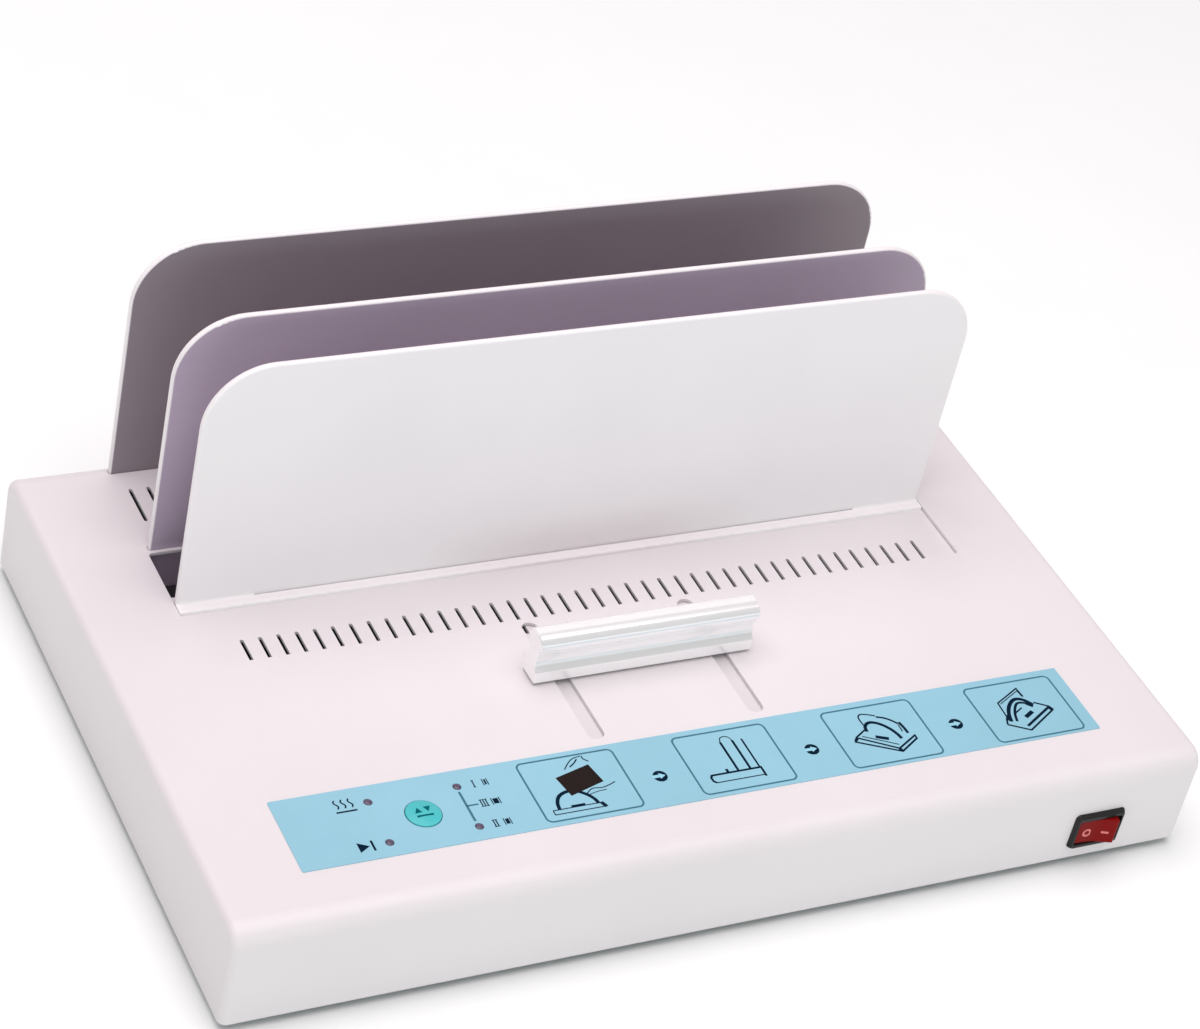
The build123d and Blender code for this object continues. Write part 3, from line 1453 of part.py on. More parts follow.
def inlet_pins():
    """Three flat pins that run through the socket's floor to their solder tabs."""
    z = base_z + inlet_rise
    floor = rear_y - inlet_body_depth
    pins = []
    for dx, dz in pin_places():
        x, mid = inlet_x + dx, z + dz
        pin = block((x - pin_sheet / 2, x + pin_sheet / 2),
                    (floor - inlet_tab_length, floor + inlet_floor + pin_length),
                    (mid - pin_width / 2, mid + pin_width / 2))
        pins.append(chamfer(pin.edges().group_by(Axis.Y)[-1], pin_point))
    return group(pins)


def inlet_screws():
    """Two screws that hold the inlet to the back wall."""
    z = base_z + inlet_rise
    screw = Rot(-90, 0, 0) * pan_screw(inlet_flange_depth + cover_sheet + inlet_screw_grip)
    return group(Pos(inlet_x + dx, rear_y + inlet_flange_depth, z) * screw
                 for dx in spread(2, inlet_screw_spacing))


def foot_nodes():
    """The four rubber feet, each under its own name."""
    nodes = {}
    for place in foot_places():
        row = "front" if place[1] < centre_y else "rear"
        side = "left" if place[0] < 0 else "right"
        nodes[f"foot_{row}_{side}"] = foot(place)
    return nodes


def sided_nodes():
    """Pieces that come as a left and a right one."""
    nodes = {}
    for side, word in ((-1, "left"), (1, "right")):
        nodes[f"{word}_rail"] = rail(side)
        nodes[f"{word}_rail_bracket"] = rail_bracket(side)
        nodes[f"{word}_end_wall"] = end_wall(side)
        nodes[f"front_{word}_slide_block"] = slide_block(side, front_block)
        nodes[f"rear_{word}_slide_block"] = slide_block(side, rear_block)
    return nodes


nodes = {
    "cover": cover(),
    "base_plate": base_plate(),
    "base_screws": base_screws(),
    "foot_screws": foot_screws(),
    "jaw_plate": jaw_plate(),
    "middle_plate": middle_plate(),
    "rear_plate": rear_plate(),
    "middle_bracket": plate_bracket(middle_face + plate_sheet, 1),
    "rear_bracket": plate_bracket(rear_face, -1),
    "plate_rivets": plate_rivets(),
    "bracket_studs": weld_studs(),
    "bracket_nuts": stud_nuts(),
    "slide_panel": slide_panel(),
    "handle": handle(),
    "handle_spacers": handle_spacers(),
    "handle_screws": handle_screws(),
    "rail_clips": rail_clips(),
    "slide_block_screws": slide_screws(),
    "frame_screws": frame_screws(),
    "heating_plate": heating_plate(),
    "heating_element": heating_element(),
    "heater_clamp": heater_clamp(),
    "heater_clamp_screws": clamp_screws(),
    "insulators": insulators(),
    "heating_plate_screws": heating_plate_screws(),
    "thermostat": thermostat(),
    "thermal_fuse": thermal_fuse(),
    "panel_overlay": panel_overlay(),
    "select_button": select_button(),
    "indicator_lamps": indicator_lamps(),
    "control_board": control_board(),
    "control_posts": control_posts(),
    "tact_switch": tact_switch(),
    "power_board": power_board(),
    "power_posts": power_posts(),
    "board_screws": board_screws(),
    "transformer": transformer(),
    "relay": relay(),
    "terminal_block": terminal_block(),
    "rocker_switch_body": rocker_switch_body(),
    "rocker": rocker(),
    "rocker_terminals": rocker_terminals(),
    "power_inlet": power_inlet(),
    "inlet_pins": inlet_pins(),
    "inlet_screws": inlet_screws(),
}
nodes.update(foot_nodes())
nodes.update(sided_nodes())

os.makedirs("parts", exist_ok=True)
for name, shape in nodes.items():
    export_step(shape, f"parts/{name}.step")
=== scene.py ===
import math

import bpy
import numpy as np
from bpy.props import FloatProperty, FloatVectorProperty, PointerProperty
from bpy.types import Operator, Panel, PropertyGroup
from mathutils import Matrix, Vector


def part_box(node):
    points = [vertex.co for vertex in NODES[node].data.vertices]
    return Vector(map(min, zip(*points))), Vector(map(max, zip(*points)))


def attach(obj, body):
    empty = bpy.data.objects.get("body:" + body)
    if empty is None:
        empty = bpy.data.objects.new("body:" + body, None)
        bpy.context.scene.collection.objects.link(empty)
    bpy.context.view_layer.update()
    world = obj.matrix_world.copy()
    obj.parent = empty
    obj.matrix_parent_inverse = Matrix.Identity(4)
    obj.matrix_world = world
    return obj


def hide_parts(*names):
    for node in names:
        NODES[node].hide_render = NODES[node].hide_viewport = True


bl_info = {
    "name": "Thermal Binder Finish",
    "version": (1, 0, 0),
    "blender": (4, 5, 0),
    "location": "3D View > Sidebar > Binder",
    "description": "Dresses the packed thermal binding machine and sets its stage",
    "category": "Object",
}

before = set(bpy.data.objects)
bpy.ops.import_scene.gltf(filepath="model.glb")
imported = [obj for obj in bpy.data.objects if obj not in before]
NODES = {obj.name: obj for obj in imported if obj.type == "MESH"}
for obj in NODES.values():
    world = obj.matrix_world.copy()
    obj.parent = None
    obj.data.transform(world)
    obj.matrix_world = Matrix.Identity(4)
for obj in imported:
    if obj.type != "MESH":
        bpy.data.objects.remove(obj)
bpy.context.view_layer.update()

MM = 0.001
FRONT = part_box("cover")[0].y  # outside of the front wall
WELL_FRONT = FRONT + 126.0 * MM  # the cover's edge in front of the well
FILM_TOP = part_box("panel_overlay")[1].z
KEY_LOW, KEY_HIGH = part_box("select_button")
ROCKER_LOW, ROCKER_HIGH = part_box("rocker")


# -------- settings

COLOUR = {"subtype": "COLOR", "min": 0.0, "max": 1.0}
LENGTH = {"unit": "LENGTH", "precision": 5}


class BinderFinish(PropertyGroup):
    """Colours and grain of the machine's finishes."""
    coat: FloatVectorProperty(
        name="Powder coat", description="Colour of the housing's powder coat",
        default=(0.745, 0.715, 0.728), **COLOUR)
    plate_coat: FloatVectorProperty(
        name="Plate coat", description="Colour of the upright plates' coat",
        default=(0.870, 0.845, 0.855), **COLOUR)
    # Painted shade: a darker colour painted on the middle plate's flat front and back faces, for
    # the shade between the plates.
    middle_painted_shade: FloatVectorProperty(
        name="Middle plate faces", description="Greyer coat on the middle plate's flat faces",
        default=(0.475, 0.40, 0.51), **COLOUR)
    # Painted shade: a darker colour painted on the rear plate's flat front and back faces, for the
    # shade between the plates.
    rear_painted_shade: FloatVectorProperty(
        name="Rear plate faces", description="Greyer coat on the rear plate's flat faces",
        default=(0.28, 0.24, 0.265), **COLOUR)
    coat_grain: FloatProperty(
        name="Coat grain", description="Size of the orange peel in the powder coat",
        default=1.1 * MM, min=0.1 * MM, max=10 * MM, **LENGTH)
    film: FloatVectorProperty(
        name="Film", description="Ground colour of the printed film",
        default=(0.268, 0.535, 0.650), **COLOUR)
    ink: FloatVectorProperty(
        name="Ink", description="Dark blue ink of the pictograms",
        default=(0.001, 0.011, 0.028), **COLOUR)
    booklet_ink: FloatVectorProperty(
        name="Booklet ink", description="Black ink of the booklet in the first pictogram",
        default=(0.016, 0.011, 0.010), **COLOUR)
    line: FloatVectorProperty(
        name="Line ink", description="Lighter ink of the frames round the pictograms",
        default=(0.050, 0.150, 0.205), **COLOUR)
    key: FloatVectorProperty(
        name="Key", description="Colour of the round key",
        default=(0.05, 0.46, 0.48), **COLOUR)
    rocker: FloatVectorProperty(
        name="Rocker", description="Colour of the switch rocker",
        default=(0.20, 0.004, 0.004), **COLOUR)
    rocker_ink: FloatVectorProperty(
        name="Rocker ink", description="Colour of the marks on the rocker",
        default=(0.62, 0.20, 0.19), **COLOUR)
    black: FloatVectorProperty(
        name="Black plastic", description="Colour of the black mouldings",
        default=(0.013, 0.014, 0.0135), **COLOUR)
    aluminium: FloatVectorProperty(
        name="Aluminium", description="Colour of the anodised handle",
        default=(0.995, 0.995, 0.995), **COLOUR)


class BinderPrint(PropertyGroup):
    """Sizes of the print on the film and the rocker."""
    thickness: FloatProperty(
        name="Ink thickness", description="How far the ink stands on the film",
        default=0.04 * MM, min=0.01 * MM, max=0.2 * MM, **LENGTH)
    frame_width: FloatProperty(
        name="Frame width", description="Width of the frame round a pictogram",
        default=37.0 * MM, min=10 * MM, max=60 * MM, **LENGTH)
    frame_depth: FloatProperty(
        name="Frame depth", description="Depth of the frame round a pictogram",
        default=29.4 * MM, min=10 * MM, max=60 * MM, **LENGTH)
    frame_corner: FloatProperty(
        name="Frame corner", description="Corner radius of the frame",
        default=2.2 * MM, min=0.1 * MM, max=10 * MM, **LENGTH)
    frame_line: FloatProperty(
        name="Frame line", description="Line width of the frame",
        default=0.7 * MM, min=0.1 * MM, max=3 * MM, **LENGTH)
    arrow_disc: FloatProperty(
        name="Arrow disc", description="Diameter of the discs between the pictograms",
        default=5.4 * MM, min=1 * MM, max=12 * MM, **LENGTH)
    rocker_circle_side: FloatProperty(
        name="Circle side", description="Circle's middle to the left of the rocker's",
        default=4.1 * MM, min=1 * MM, max=8 * MM, **LENGTH)
    rocker_bar_side: FloatProperty(
        name="Bar side", description="Bar's middle to the right of the rocker's",
        default=2.9 * MM, min=1 * MM, max=8 * MM, **LENGTH)
    rocker_mark_drop: FloatProperty(
        name="Mark drop", description="Marks below the rocker's middle",
        default=0.6 * MM, min=0.0, max=3 * MM, **LENGTH)
    rocker_ring: FloatProperty(
        name="Rocker ring", description="Diameter of the circle on the rocker",
        default=2.9 * MM, min=1 * MM, max=6 * MM, **LENGTH)
    rocker_bar: FloatProperty(
        name="Rocker bar", description="Length of the bar on the rocker",
        default=2.9 * MM, min=1 * MM, max=6 * MM, **LENGTH)
    rocker_line: FloatProperty(
        name="Rocker line", description="Line width of the marks on the rocker",
        default=0.85 * MM, min=0.1 * MM, max=2 * MM, **LENGTH)
    film_middle: FloatProperty(
        name="Film middle", description="Middle of the film behind the front wall",
        default=39.4 * MM, min=10 * MM, max=100 * MM, **LENGTH)


class BinderScrews(PropertyGroup):
    """Sizes of the cross-head screws that show from outside."""
    head_height: FloatProperty(
        name="Head height", description="Height of the head above its seat",
        default=1.8 * MM, min=0.5 * MM, max=5 * MM, **LENGTH)
    recess_depth: FloatProperty(
        name="Recess depth", description="Depth of the cross at its middle",
        default=1.15 * MM, min=0.2 * MM, max=3 * MM, **LENGTH)
    arm_reach: FloatProperty(
        name="Arm reach", description="Reach of the cross's arms over the head's radius",
        default=0.62, min=0.2, max=0.9)
    arm_width: FloatProperty(
        name="Arm width", description="Width of the cross's arms over the head's radius",
        default=0.30, min=0.1, max=0.6)


class BinderStage(PropertyGroup):
    """The camera, the floor and the lights."""
    camera_side: FloatProperty(
        name="Camera side", description="Camera to the right of the machine's middle",
        default=-0.5443, **LENGTH)
    camera_front: FloatProperty(
        name="Camera front", description="Camera in front of the machine's front wall",
        default=0.6961, **LENGTH)
    camera_height: FloatProperty(
        name="Camera height", description="Camera above the floor",
        default=0.8265, **LENGTH)
    camera_lens: FloatProperty(
        name="Lens", description="Focal length on a 36 mm wide sensor",
        default=102.67, unit="CAMERA")
    floor_size: FloatProperty(
        name="Floor", description="Side of the floor",
        default=7.0, unit="LENGTH")
    floor_colour: FloatVectorProperty(
        name="Floor colour", description="Pale floor",
        default=(0.935, 0.975, 0.96), **COLOUR)
    overhead_tint: FloatVectorProperty(
        name="Overhead tint", description="Colour of the overhead light",
        default=(1.0, 0.90, 0.93), **COLOUR)
    front_tint: FloatVectorProperty(
        name="Front tint", description="Colour of the light at the front",
        default=(0.84, 1.0, 0.99), **COLOUR)
    overhead_power: FloatProperty(
        name="Overhead light", description="Power of the overhead light",
        default=41.0, unit="POWER")
    front_power: FloatProperty(
        name="Front light", description="Power of the light at the front",
        default=9.5, unit="POWER")
    ambient: FloatProperty(
        name="Ambient", description="Strength of the pale surroundings",
        default=0.38)


# -------- mesh surfaces

SHARP_EDGE = 35.0  # degrees; flatter edges of a round piece are smoothed


def closed_grid(rings, around=True, ends="capped"):
    """Mesh of a grid of points: rings[i, j] is point j round ring i.

    Neighbouring rings are joined by quadrilaterals, and with around the last point of a ring
    joins its first. One face each closes the first and the last ring where the ends are
    "capped", the last ring joins the first where they are "joined", and "open" ends stay so.
    Returns the points and blocks of faces, each a table of point numbers.
    """
    index = np.arange(rings.shape[0] * rings.shape[1]).reshape(rings.shape[:2])
    grid = np.vstack([index, index[:1]]) if ends == "joined" else index
    if around:
        grid = np.hstack([grid, grid[:, :1]])
    quads = np.stack([grid[:-1, :-1], grid[:-1, 1:], grid[1:, 1:], grid[1:, :-1]], axis=-1)
    blocks = [quads.reshape(-1, 4)]
    if ends == "capped":
        blocks += [index[:1, ::-1], index[-1:]]
    return rings.reshape(-1, 3), blocks


def rounded_box_path(width, depth, corner, steps=8):
    """Closed outline: four quarter circles of the corner radius about a rectangle's corners."""
    turn = np.linspace(0.0, 0.5 * np.pi, steps)
    starts = np.arange(4) * 0.5 * np.pi
    angle = (starts[:, None] + turn[None, :]).ravel()
    side_x = np.repeat([1, -1, -1, 1], steps) * (width / 2 - corner)
    side_y = np.repeat([1, 1, -1, -1], steps) * (depth / 2 - corner)
    return np.stack([side_x + corner * np.cos(angle), side_y + corner * np.sin(angle)], axis=1)


def smooth_path(points, steps=6):
    """A smooth line through the points.

    Between two points it is the Catmull-Rom cubic: half of (2 p1 + (p2 - p0) t +
    (2 p0 - 5 p1 + 4 p2 - p3) t^2 + (3 p1 - p0 - 3 p2 + p3) t^3). Beyond each end a further
    point is assumed, which carries the last two straight on.
    """
    p = np.asarray(points, float)
    p = np.vstack([2 * p[0] - p[1], p, 2 * p[-1] - p[-2]])
    t = np.linspace(0.0, 1.0, steps, endpoint=False)[None, :, None]
    p0, p1, p2, p3 = (p[i:len(p) - 3 + i][:, None, :] for i in range(4))
    line = 0.5 * (2 * p1 + (p2 - p0) * t + (2 * p0 - 5 * p1 + 4 * p2 - p3) * t ** 2
                  + (3 * p1 - p0 - 3 * p2 + p3) * t ** 3)
    return np.vstack([line.reshape(-1, 2), p[-2]])


def stroke(path, width, low, high, closed=False):
    """A flat ink line: a rectangular section carried along a path in the level plane.

    At each point the section is moved half the width along the mean of the two neighbouring
    normals, lengthened by one over the cosine of half the turn, but at most doubled.
    """
    p = np.asarray(path, float)
    if closed:
        before, after = np.roll(p, 1, axis=0), np.roll(p, -1, axis=0)
    else:
        before = np.vstack([2 * p[0] - p[1], p[:-1]])
        after = np.vstack([p[1:], 2 * p[-1] - p[-2]])
    a, b = p - before, after - p
    a /= np.linalg.norm(a, axis=1, keepdims=True)
    b /= np.linalg.norm(b, axis=1, keepdims=True)
    normal = np.stack([-(a + b)[:, 1], (a + b)[:, 0]], axis=1)
    length = np.linalg.norm(normal, axis=1, keepdims=True)
    normal = normal / np.maximum(length, 1e-9)
    reach = np.minimum(2.0 / np.maximum(length, 1e-3), 2.0) * width / 2
    right, left = p - normal * reach, p + normal * reach
    rings = np.empty((len(p), 4, 3))
    rings[:, :, :2] = np.stack([right, left, left, right], axis=1)
    rings[:, :, 2] = (high, high, low, low)
    return closed_grid(rings, ends="joined" if closed else "capped")


def patch(outline, low, high):
    """A flat filled shape: its outline at the low and the high level, closed by two faces."""
    p = np.asarray(outline, float)
    area = np.sum(p[:, 0] * np.roll(p[:, 1], -1) - np.roll(p[:, 0], -1) * p[:, 1])
    if area < 0:
        p = p[::-1]
    rings = np.empty((2, len(p), 3))
    rings[:, :, :2] = p[None]
    rings[0, :, 2], rings[1, :, 2] = low, high
    return closed_grid(rings)


def circle_path(radius, steps=28):
    """Points at equal angles on a circle."""
    angle = np.linspace(0.0, 2 * np.pi, steps, endpoint=False)
    return radius * np.stack([np.cos(angle), np.sin(angle)], axis=1)


def apart(values, gap):
    """Number of the group that each value is in; groups are parted by gaps between values."""
    order = np.argsort(values)
    label = np.zeros(len(values), int)
    label[order[1:]] = np.cumsum(np.diff(values[order]) > gap)
    return label


def screw_boxes(node, axis, gap=4 * MM):
    """Lowest and highest corners of each screw of a node, which stand apart across the axis."""
    flat = np.empty(len(node.data.vertices) * 3)
    node.data.vertices.foreach_get("co", flat)
    v = flat.reshape(-1, 3)
    across = v[:, axis == 0]
    rows, columns = apart(across[:, 0], gap), apart(across[:, 1], gap)
    _, screw = np.unique(rows * (columns.max() + 1) + columns, return_inverse=True)
    low = np.full((screw.max() + 1, 3), np.inf)
    high = -low
    np.minimum.at(low, screw, v)
    np.maximum.at(high, screw, v)
    return low, high


def cross_screw(head, shank, length, size, around=64):
    """A pan-head screw along z, its seat at height zero, as rings of points.

    The profile goes up the shank from a bevelled point, out along the seat, round the rim on a
    quarter circle of half the head's height, and in over the top. There the height is lowered
    by the cross: the recess depth, less 45 percent of it at the end of an arm, times the
    larger of the two arms' masks. A mask is a ramp from 1 to 0 across the arm's sides and end.
    """
    rim, reach = size.head_height / 2, size.arm_reach * head
    point, bevel, ramp, end_rise = 0.55 * shank, 0.5 * shank, 0.05 * head, 0.45
    turn = np.linspace(0.0, np.pi / 2, 7)
    inward = np.linspace(head - rim, 0.04 * head, 22)[1:]
    radius = np.concatenate([[point, shank, shank, head], head - rim + rim * np.cos(turn),
                             inward])
    height = np.concatenate([[-length, bevel - length, 0.0, 0.0], rim + rim * np.sin(turn),
                             np.full(len(inward), size.head_height)])
    x, y = radius[:, None] * circle_path(1.0, around).T[:, None]

    def mask(along, across):
        end = np.clip((reach - np.abs(along)) / ramp, 0.0, 1.0)
        side = np.clip((size.arm_width * head / 2 - np.abs(across)) / ramp + 0.5, 0.0, 1.0)
        return end * side

    depth = size.recess_depth * (1.0 - end_rise * np.clip(np.hypot(x, y) / reach, 0.0, 1.0))
    depth[:-len(inward)] = 0.0
    z = height[:, None] - depth * np.maximum(mask(x, y), mask(y, x))
    return np.stack([x, y, z], axis=-1)


def in_scene(name, data):
    """A new object in the scene."""
    made = bpy.data.objects.new(name, data)
    bpy.context.scene.collection.objects.link(made)
    return made


def new_object(name, parts, material, smooth=False):
    """One object from (points, blocks of faces) parts, each numbered past the parts before."""
    starts = np.cumsum([0] + [len(points) for points, _ in parts])
    blocks = [block + start for start, (_, faces) in zip(starts, parts) for block in faces]
    mesh = bpy.data.meshes.new(name)
    mesh.from_pydata(np.vstack([points for points, _ in parts]).tolist(), [],
                     [face for block in blocks for face in block.tolist()])
    mesh.validate()
    mesh.polygons.foreach_set("use_smooth", np.full(len(mesh.polygons), smooth))
    if smooth:
        mesh.set_sharp_from_angle(angle=math.radians(SHARP_EDGE))
    mesh.materials.append(material)
    return in_scene(name, mesh)


def new_piece(name, parts, material, body, smooth=False):
    """A new object with its material, which rides on a body."""
    piece = new_object(name, parts, material, smooth)
    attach(piece, body)
    return piece


# -------- materials

MIX_A, MIX_B, MIX_OUT = 6, 7, 2  # a Mix node's sockets for colours


class Graph:
    """Short names for building a node material on Object coordinates."""

    def __init__(self, name):
        self.material = bpy.data.materials.new(name)
        self.material.use_nodes = True
        self.tree = self.material.node_tree
        self.tree.nodes.clear()
        self.shader = self.node("ShaderNodeBsdfPrincipled")
        output = self.node("ShaderNodeOutputMaterial")
        self.link(self.shader.outputs["BSDF"], output.inputs["Surface"])
        coordinates = self.node("ShaderNodeTexCoord")
        self.place, self.normal = coordinates.outputs["Object"], coordinates.outputs["Normal"]

    def node(self, kind, **values):
        made = self.tree.nodes.new(kind)
        for key, value in values.items():
            setattr(made, key, value)
        return made

    def link(self, source, target):
        self.tree.links.new(source, target)

    def set(self, **values):
        """Sets constants straight on the shader's sockets."""
        for key, value in values.items():
            self.shader.inputs[key.replace("_", " ")].default_value = value

    def stretched(self, scale):
        """Object coordinates scaled differently along each axis."""
        mapping = self.node("ShaderNodeMapping")
        mapping.inputs["Scale"].default_value = scale
        self.link(self.place, mapping.inputs["Vector"])
        return mapping.outputs["Vector"]

    def noise(self, scale, detail=3.0, rough=0.5, place=None):
        """Cloudy noise; the scale is in features a metre."""
        made = self.node("ShaderNodeTexNoise")
        made.inputs["Scale"].default_value = scale
        made.inputs["Detail"].default_value = detail
        made.inputs["Roughness"].default_value = rough
        self.link(place or self.place, made.inputs["Vector"])
        return made.outputs["Fac"]

    def cells(self, scale, feature="F1"):
        """Distance from the middles of irregular cells; the scale is in cells a metre."""
        made = self.node("ShaderNodeTexVoronoi", feature=feature)
        made.inputs["Scale"].default_value = scale
        self.link(self.place, made.inputs["Vector"])
        return made.outputs["Distance"]

    def ranged(self, value, low=0.3, high=0.7, to_low=0.0, to_high=1.0):
        """Carries low to high, where most noise lies by default, onto another range."""
        made = self.node("ShaderNodeMapRange")
        for name, number in zip(("From Min", "From Max", "To Min", "To Max"),
                                (low, high, to_low, to_high)):
            made.inputs[name].default_value = number
        self.link(value, made.inputs["Value"])
        return made.outputs["Result"]

    def mixed(self, factor, first, second, blend="MIX"):
        """Colour that goes from first to second as the factor goes from 0 to 1."""
        made = self.node("ShaderNodeMix", data_type="RGBA", blend_type=blend)
        self.link(factor, made.inputs["Factor"])
        for socket, value in ((MIX_A, first), (MIX_B, second)):
            if hasattr(value, "node"):
                self.link(value, made.inputs[socket])
            else:
                made.inputs[socket].default_value = (*value, 1.0)
        return made.outputs[MIX_OUT]

    def varied(self, factor, colour, low, high):
        """Colour that goes from low to high times itself as the factor goes from 0 to 1."""
        return self.mixed(factor, shaded(colour, low), shaded(colour, high))

    def depth(self, vector):
        """Y of a vector."""
        split = self.node("ShaderNodeSeparateXYZ")
        self.link(vector, split.inputs["Vector"])
        return split.outputs["Y"]

    def facing_depth(self):
        """How squarely the surface faces the front or the back: size of its normal's Y."""
        size = self.node("ShaderNodeMath", operation="ABSOLUTE")
        self.link(self.depth(self.normal), size.inputs[0])
        return size.outputs["Value"]

    def colour(self, value):
        self.link(value, self.shader.inputs["Base Color"])

    def rough(self, value, low, high, start=0.3, stop=0.7):
        """Roughness from low to high as a value goes from start to stop."""
        self.link(self.ranged(value, start, stop, low, high), self.shader.inputs["Roughness"])

    def bump(self, *layers):
        """Bumps on one another; each layer is (height, distance in metres, strength)."""
        normal = None
        for height, distance, strength in layers:
            made = self.node("ShaderNodeBump")
            made.inputs["Distance"].default_value = distance
            made.inputs["Strength"].default_value = strength
            self.link(height, made.inputs["Height"])
            if normal:
                self.link(normal, made.inputs["Normal"])
            normal = made.outputs["Normal"]
        self.link(normal, self.shader.inputs["Normal"])


def shaded(colour, amount):
    """A colour made darker, or lighter with an amount over one."""
    return tuple(min(1.0, c * amount) for c in colour)


def powder_coat(name, colour, grain, rough=0.40, face=None, under=None):
    """Powder coat: broad drift of colour, specks, orange peel and faint handling marks.

    With a face colour, the flat faces towards the front and the back have that colour as painted
    shade, and the rounded rims keep the coat's own. With an under place, the coat in front of it,
    where it runs under the cover and shows at the floors of the slots, is painted greyer as shade.
    """
    g = Graph(name)
    drift = g.ranged(g.noise(9.0, 4.0))
    base = g.varied(drift, colour, 0.965, 1.02)
    if face:
        # Painted shade: flat faces that look to the front or the back take the face colour; the
        # rims keep the coat.
        flat = g.varied(drift, face, 0.94, 1.04)
        base = g.mixed(g.ranged(g.facing_depth(), 0.90, 0.995), base, flat)
    if under:
        # Painted shade: the panel in front of the under place, which runs under the cover and
        # shows at the floors of the slots, is painted greyer.
        rubbing_and_painted_shade = g.ranged(g.depth(g.place), under - MM, under, 1.0, 0.0)
        base = g.mixed(rubbing_and_painted_shade, base, shaded(colour, 0.90))
    specks = g.ranged(g.cells(950.0), 0.0, 0.12, 0.35, 0.0)
    g.colour(g.mixed(specks, base, (0.86, 0.86, 0.86), "MULTIPLY"))
    marks = g.noise(60.0, 6.0, 0.7, g.stretched((1.0, 0.25, 1.0)))
    g.rough(marks, rough - 0.05, rough + 0.09, stop=0.75)
    peel = g.noise(1.0 / grain, 2.0, 0.4)
    fine = g.noise(4.0 / grain, 2.0, 0.5)
    g.bump((peel, 0.06 * MM, 0.35), (fine, 0.02 * MM, 0.25))
    g.set(Specular_IOR_Level=0.45, Coat_Weight=0.12, Coat_Roughness=0.22)
    return g.material


def brushed_metal(name, colour, along, rough, streak=0.10, metal=1.0, depth=1.0):
    """Metal with fine lines along one axis: noise squeezed across that axis.

    The depth of the lines scales their bump and how far they change the roughness.
    """
    g = Graph(name)
    lines = g.noise(25.0, 5.0, 0.65, g.stretched(along))
    cloud = g.noise(14.0, 3.0)
    base = g.varied(g.ranged(lines), colour, 1.0 - streak, 1.0)
    g.colour(g.mixed(g.ranged(cloud, 0.35, 0.7, 0.0, 0.25), base, shaded(colour, 0.88)))
    g.rough(lines, rough - 0.06 * depth, rough + 0.10 * depth)
    g.bump((lines, 0.03 * MM, 0.30 * depth))
    g.set(Metallic=metal)
    return g.material


def moulded(name, colour, rough, grain=900.0, clear=0.0, glow=0.0, gloss=0.5):
    """Moulded plastic: a fine spark-eroded grain, faint flow marks and small scuffs."""
    g = Graph(name)
    flow = g.ranged(g.noise(35.0, 3.0))
    base = g.varied(flow, colour, 0.88, 1.10)
    scuff = g.ranged(g.noise(260.0, 6.0, 0.75), 0.60, 0.80, 0.0, 0.5)
    g.colour(g.mixed(scuff, base, shaded(colour, 1.45)))
    g.rough(g.noise(420.0, 3.0), rough - 0.07, rough + 0.08)
    g.bump((g.noise(grain, 2.0, 0.5), 0.04 * MM, 0.25))
    g.set(Specular_IOR_Level=gloss)
    if clear:
        g.set(Transmission_Weight=clear, IOR=1.49)
    if glow:
        g.set(Subsurface_Weight=glow, Subsurface_Scale=0.002)
        g.shader.inputs["Subsurface Radius"].default_value = (1.0, 0.25, 0.2)
    return g.material


def plated_steel(name, colour, rough=0.30):
    """Zinc-plated steel: cell-like spangle, a faint blue cast and drawn scratches."""
    g = Graph(name)
    spangle = g.cells(170.0, "SMOOTH_F1")
    base = g.varied(g.ranged(spangle, 0.0, 0.8), colour, 0.86, 1.0)
    tint = (colour[0] * 0.9, colour[1] * 0.95, min(1.0, colour[2] * 1.06))
    g.colour(g.mixed(g.ranged(g.noise(22.0), 0.4, 0.7, 0.0, 0.5), base, tint))
    scratch = g.noise(90.0, 8.0, 0.8, g.stretched((0.2, 1.0, 1.0)))
    g.rough(scratch, rough - 0.06, rough + 0.14)
    g.bump((scratch, 0.02 * MM, 0.2), (spangle, 0.03 * MM, 0.15))
    g.set(Metallic=1.0)
    return g.material


def worn_coating(name, colour):
    """Black non-stick coating: speckle, paths worn across the plate and fine pits."""
    g = Graph(name)
    # Here the rubbed paths are real wear on the hot plate, not shade.
    rubbing_and_painted_shade = g.noise(38.0, 6.0, 0.7, g.stretched((1.0, 0.15, 1.0)))
    speckle = g.ranged(g.cells(700.0), 0.0, 0.18, 0.8, 0.0)
    base = g.varied(speckle, colour, 1.0, 3.0)
    g.colour(g.mixed(g.ranged(rubbing_and_painted_shade, 0.52, 0.72, 0.0, 0.6), base, shaded(colour, 2.2)))
    g.rough(rubbing_and_painted_shade, 0.54, 0.34, start=0.35)
    g.bump((g.noise(1400.0, 2.0), 0.03 * MM, 0.3))
    return g.material


def laminate(name, colour, scale=120.0, rough=0.5):
    """Layered board or mica: flakes of two tones with a waxy gloss."""
    g = Graph(name)
    flakes = g.cells(scale)
    base = g.varied(g.ranged(flakes, 0.0), colour, 0.75, 1.2)
    g.colour(g.mixed(g.noise(600.0), base, shaded(colour, 0.9)))
    g.rough(g.noise(200.0), rough - 0.08, rough + 0.08)
    g.bump((flakes, 0.03 * MM, 0.25))
    return g.material


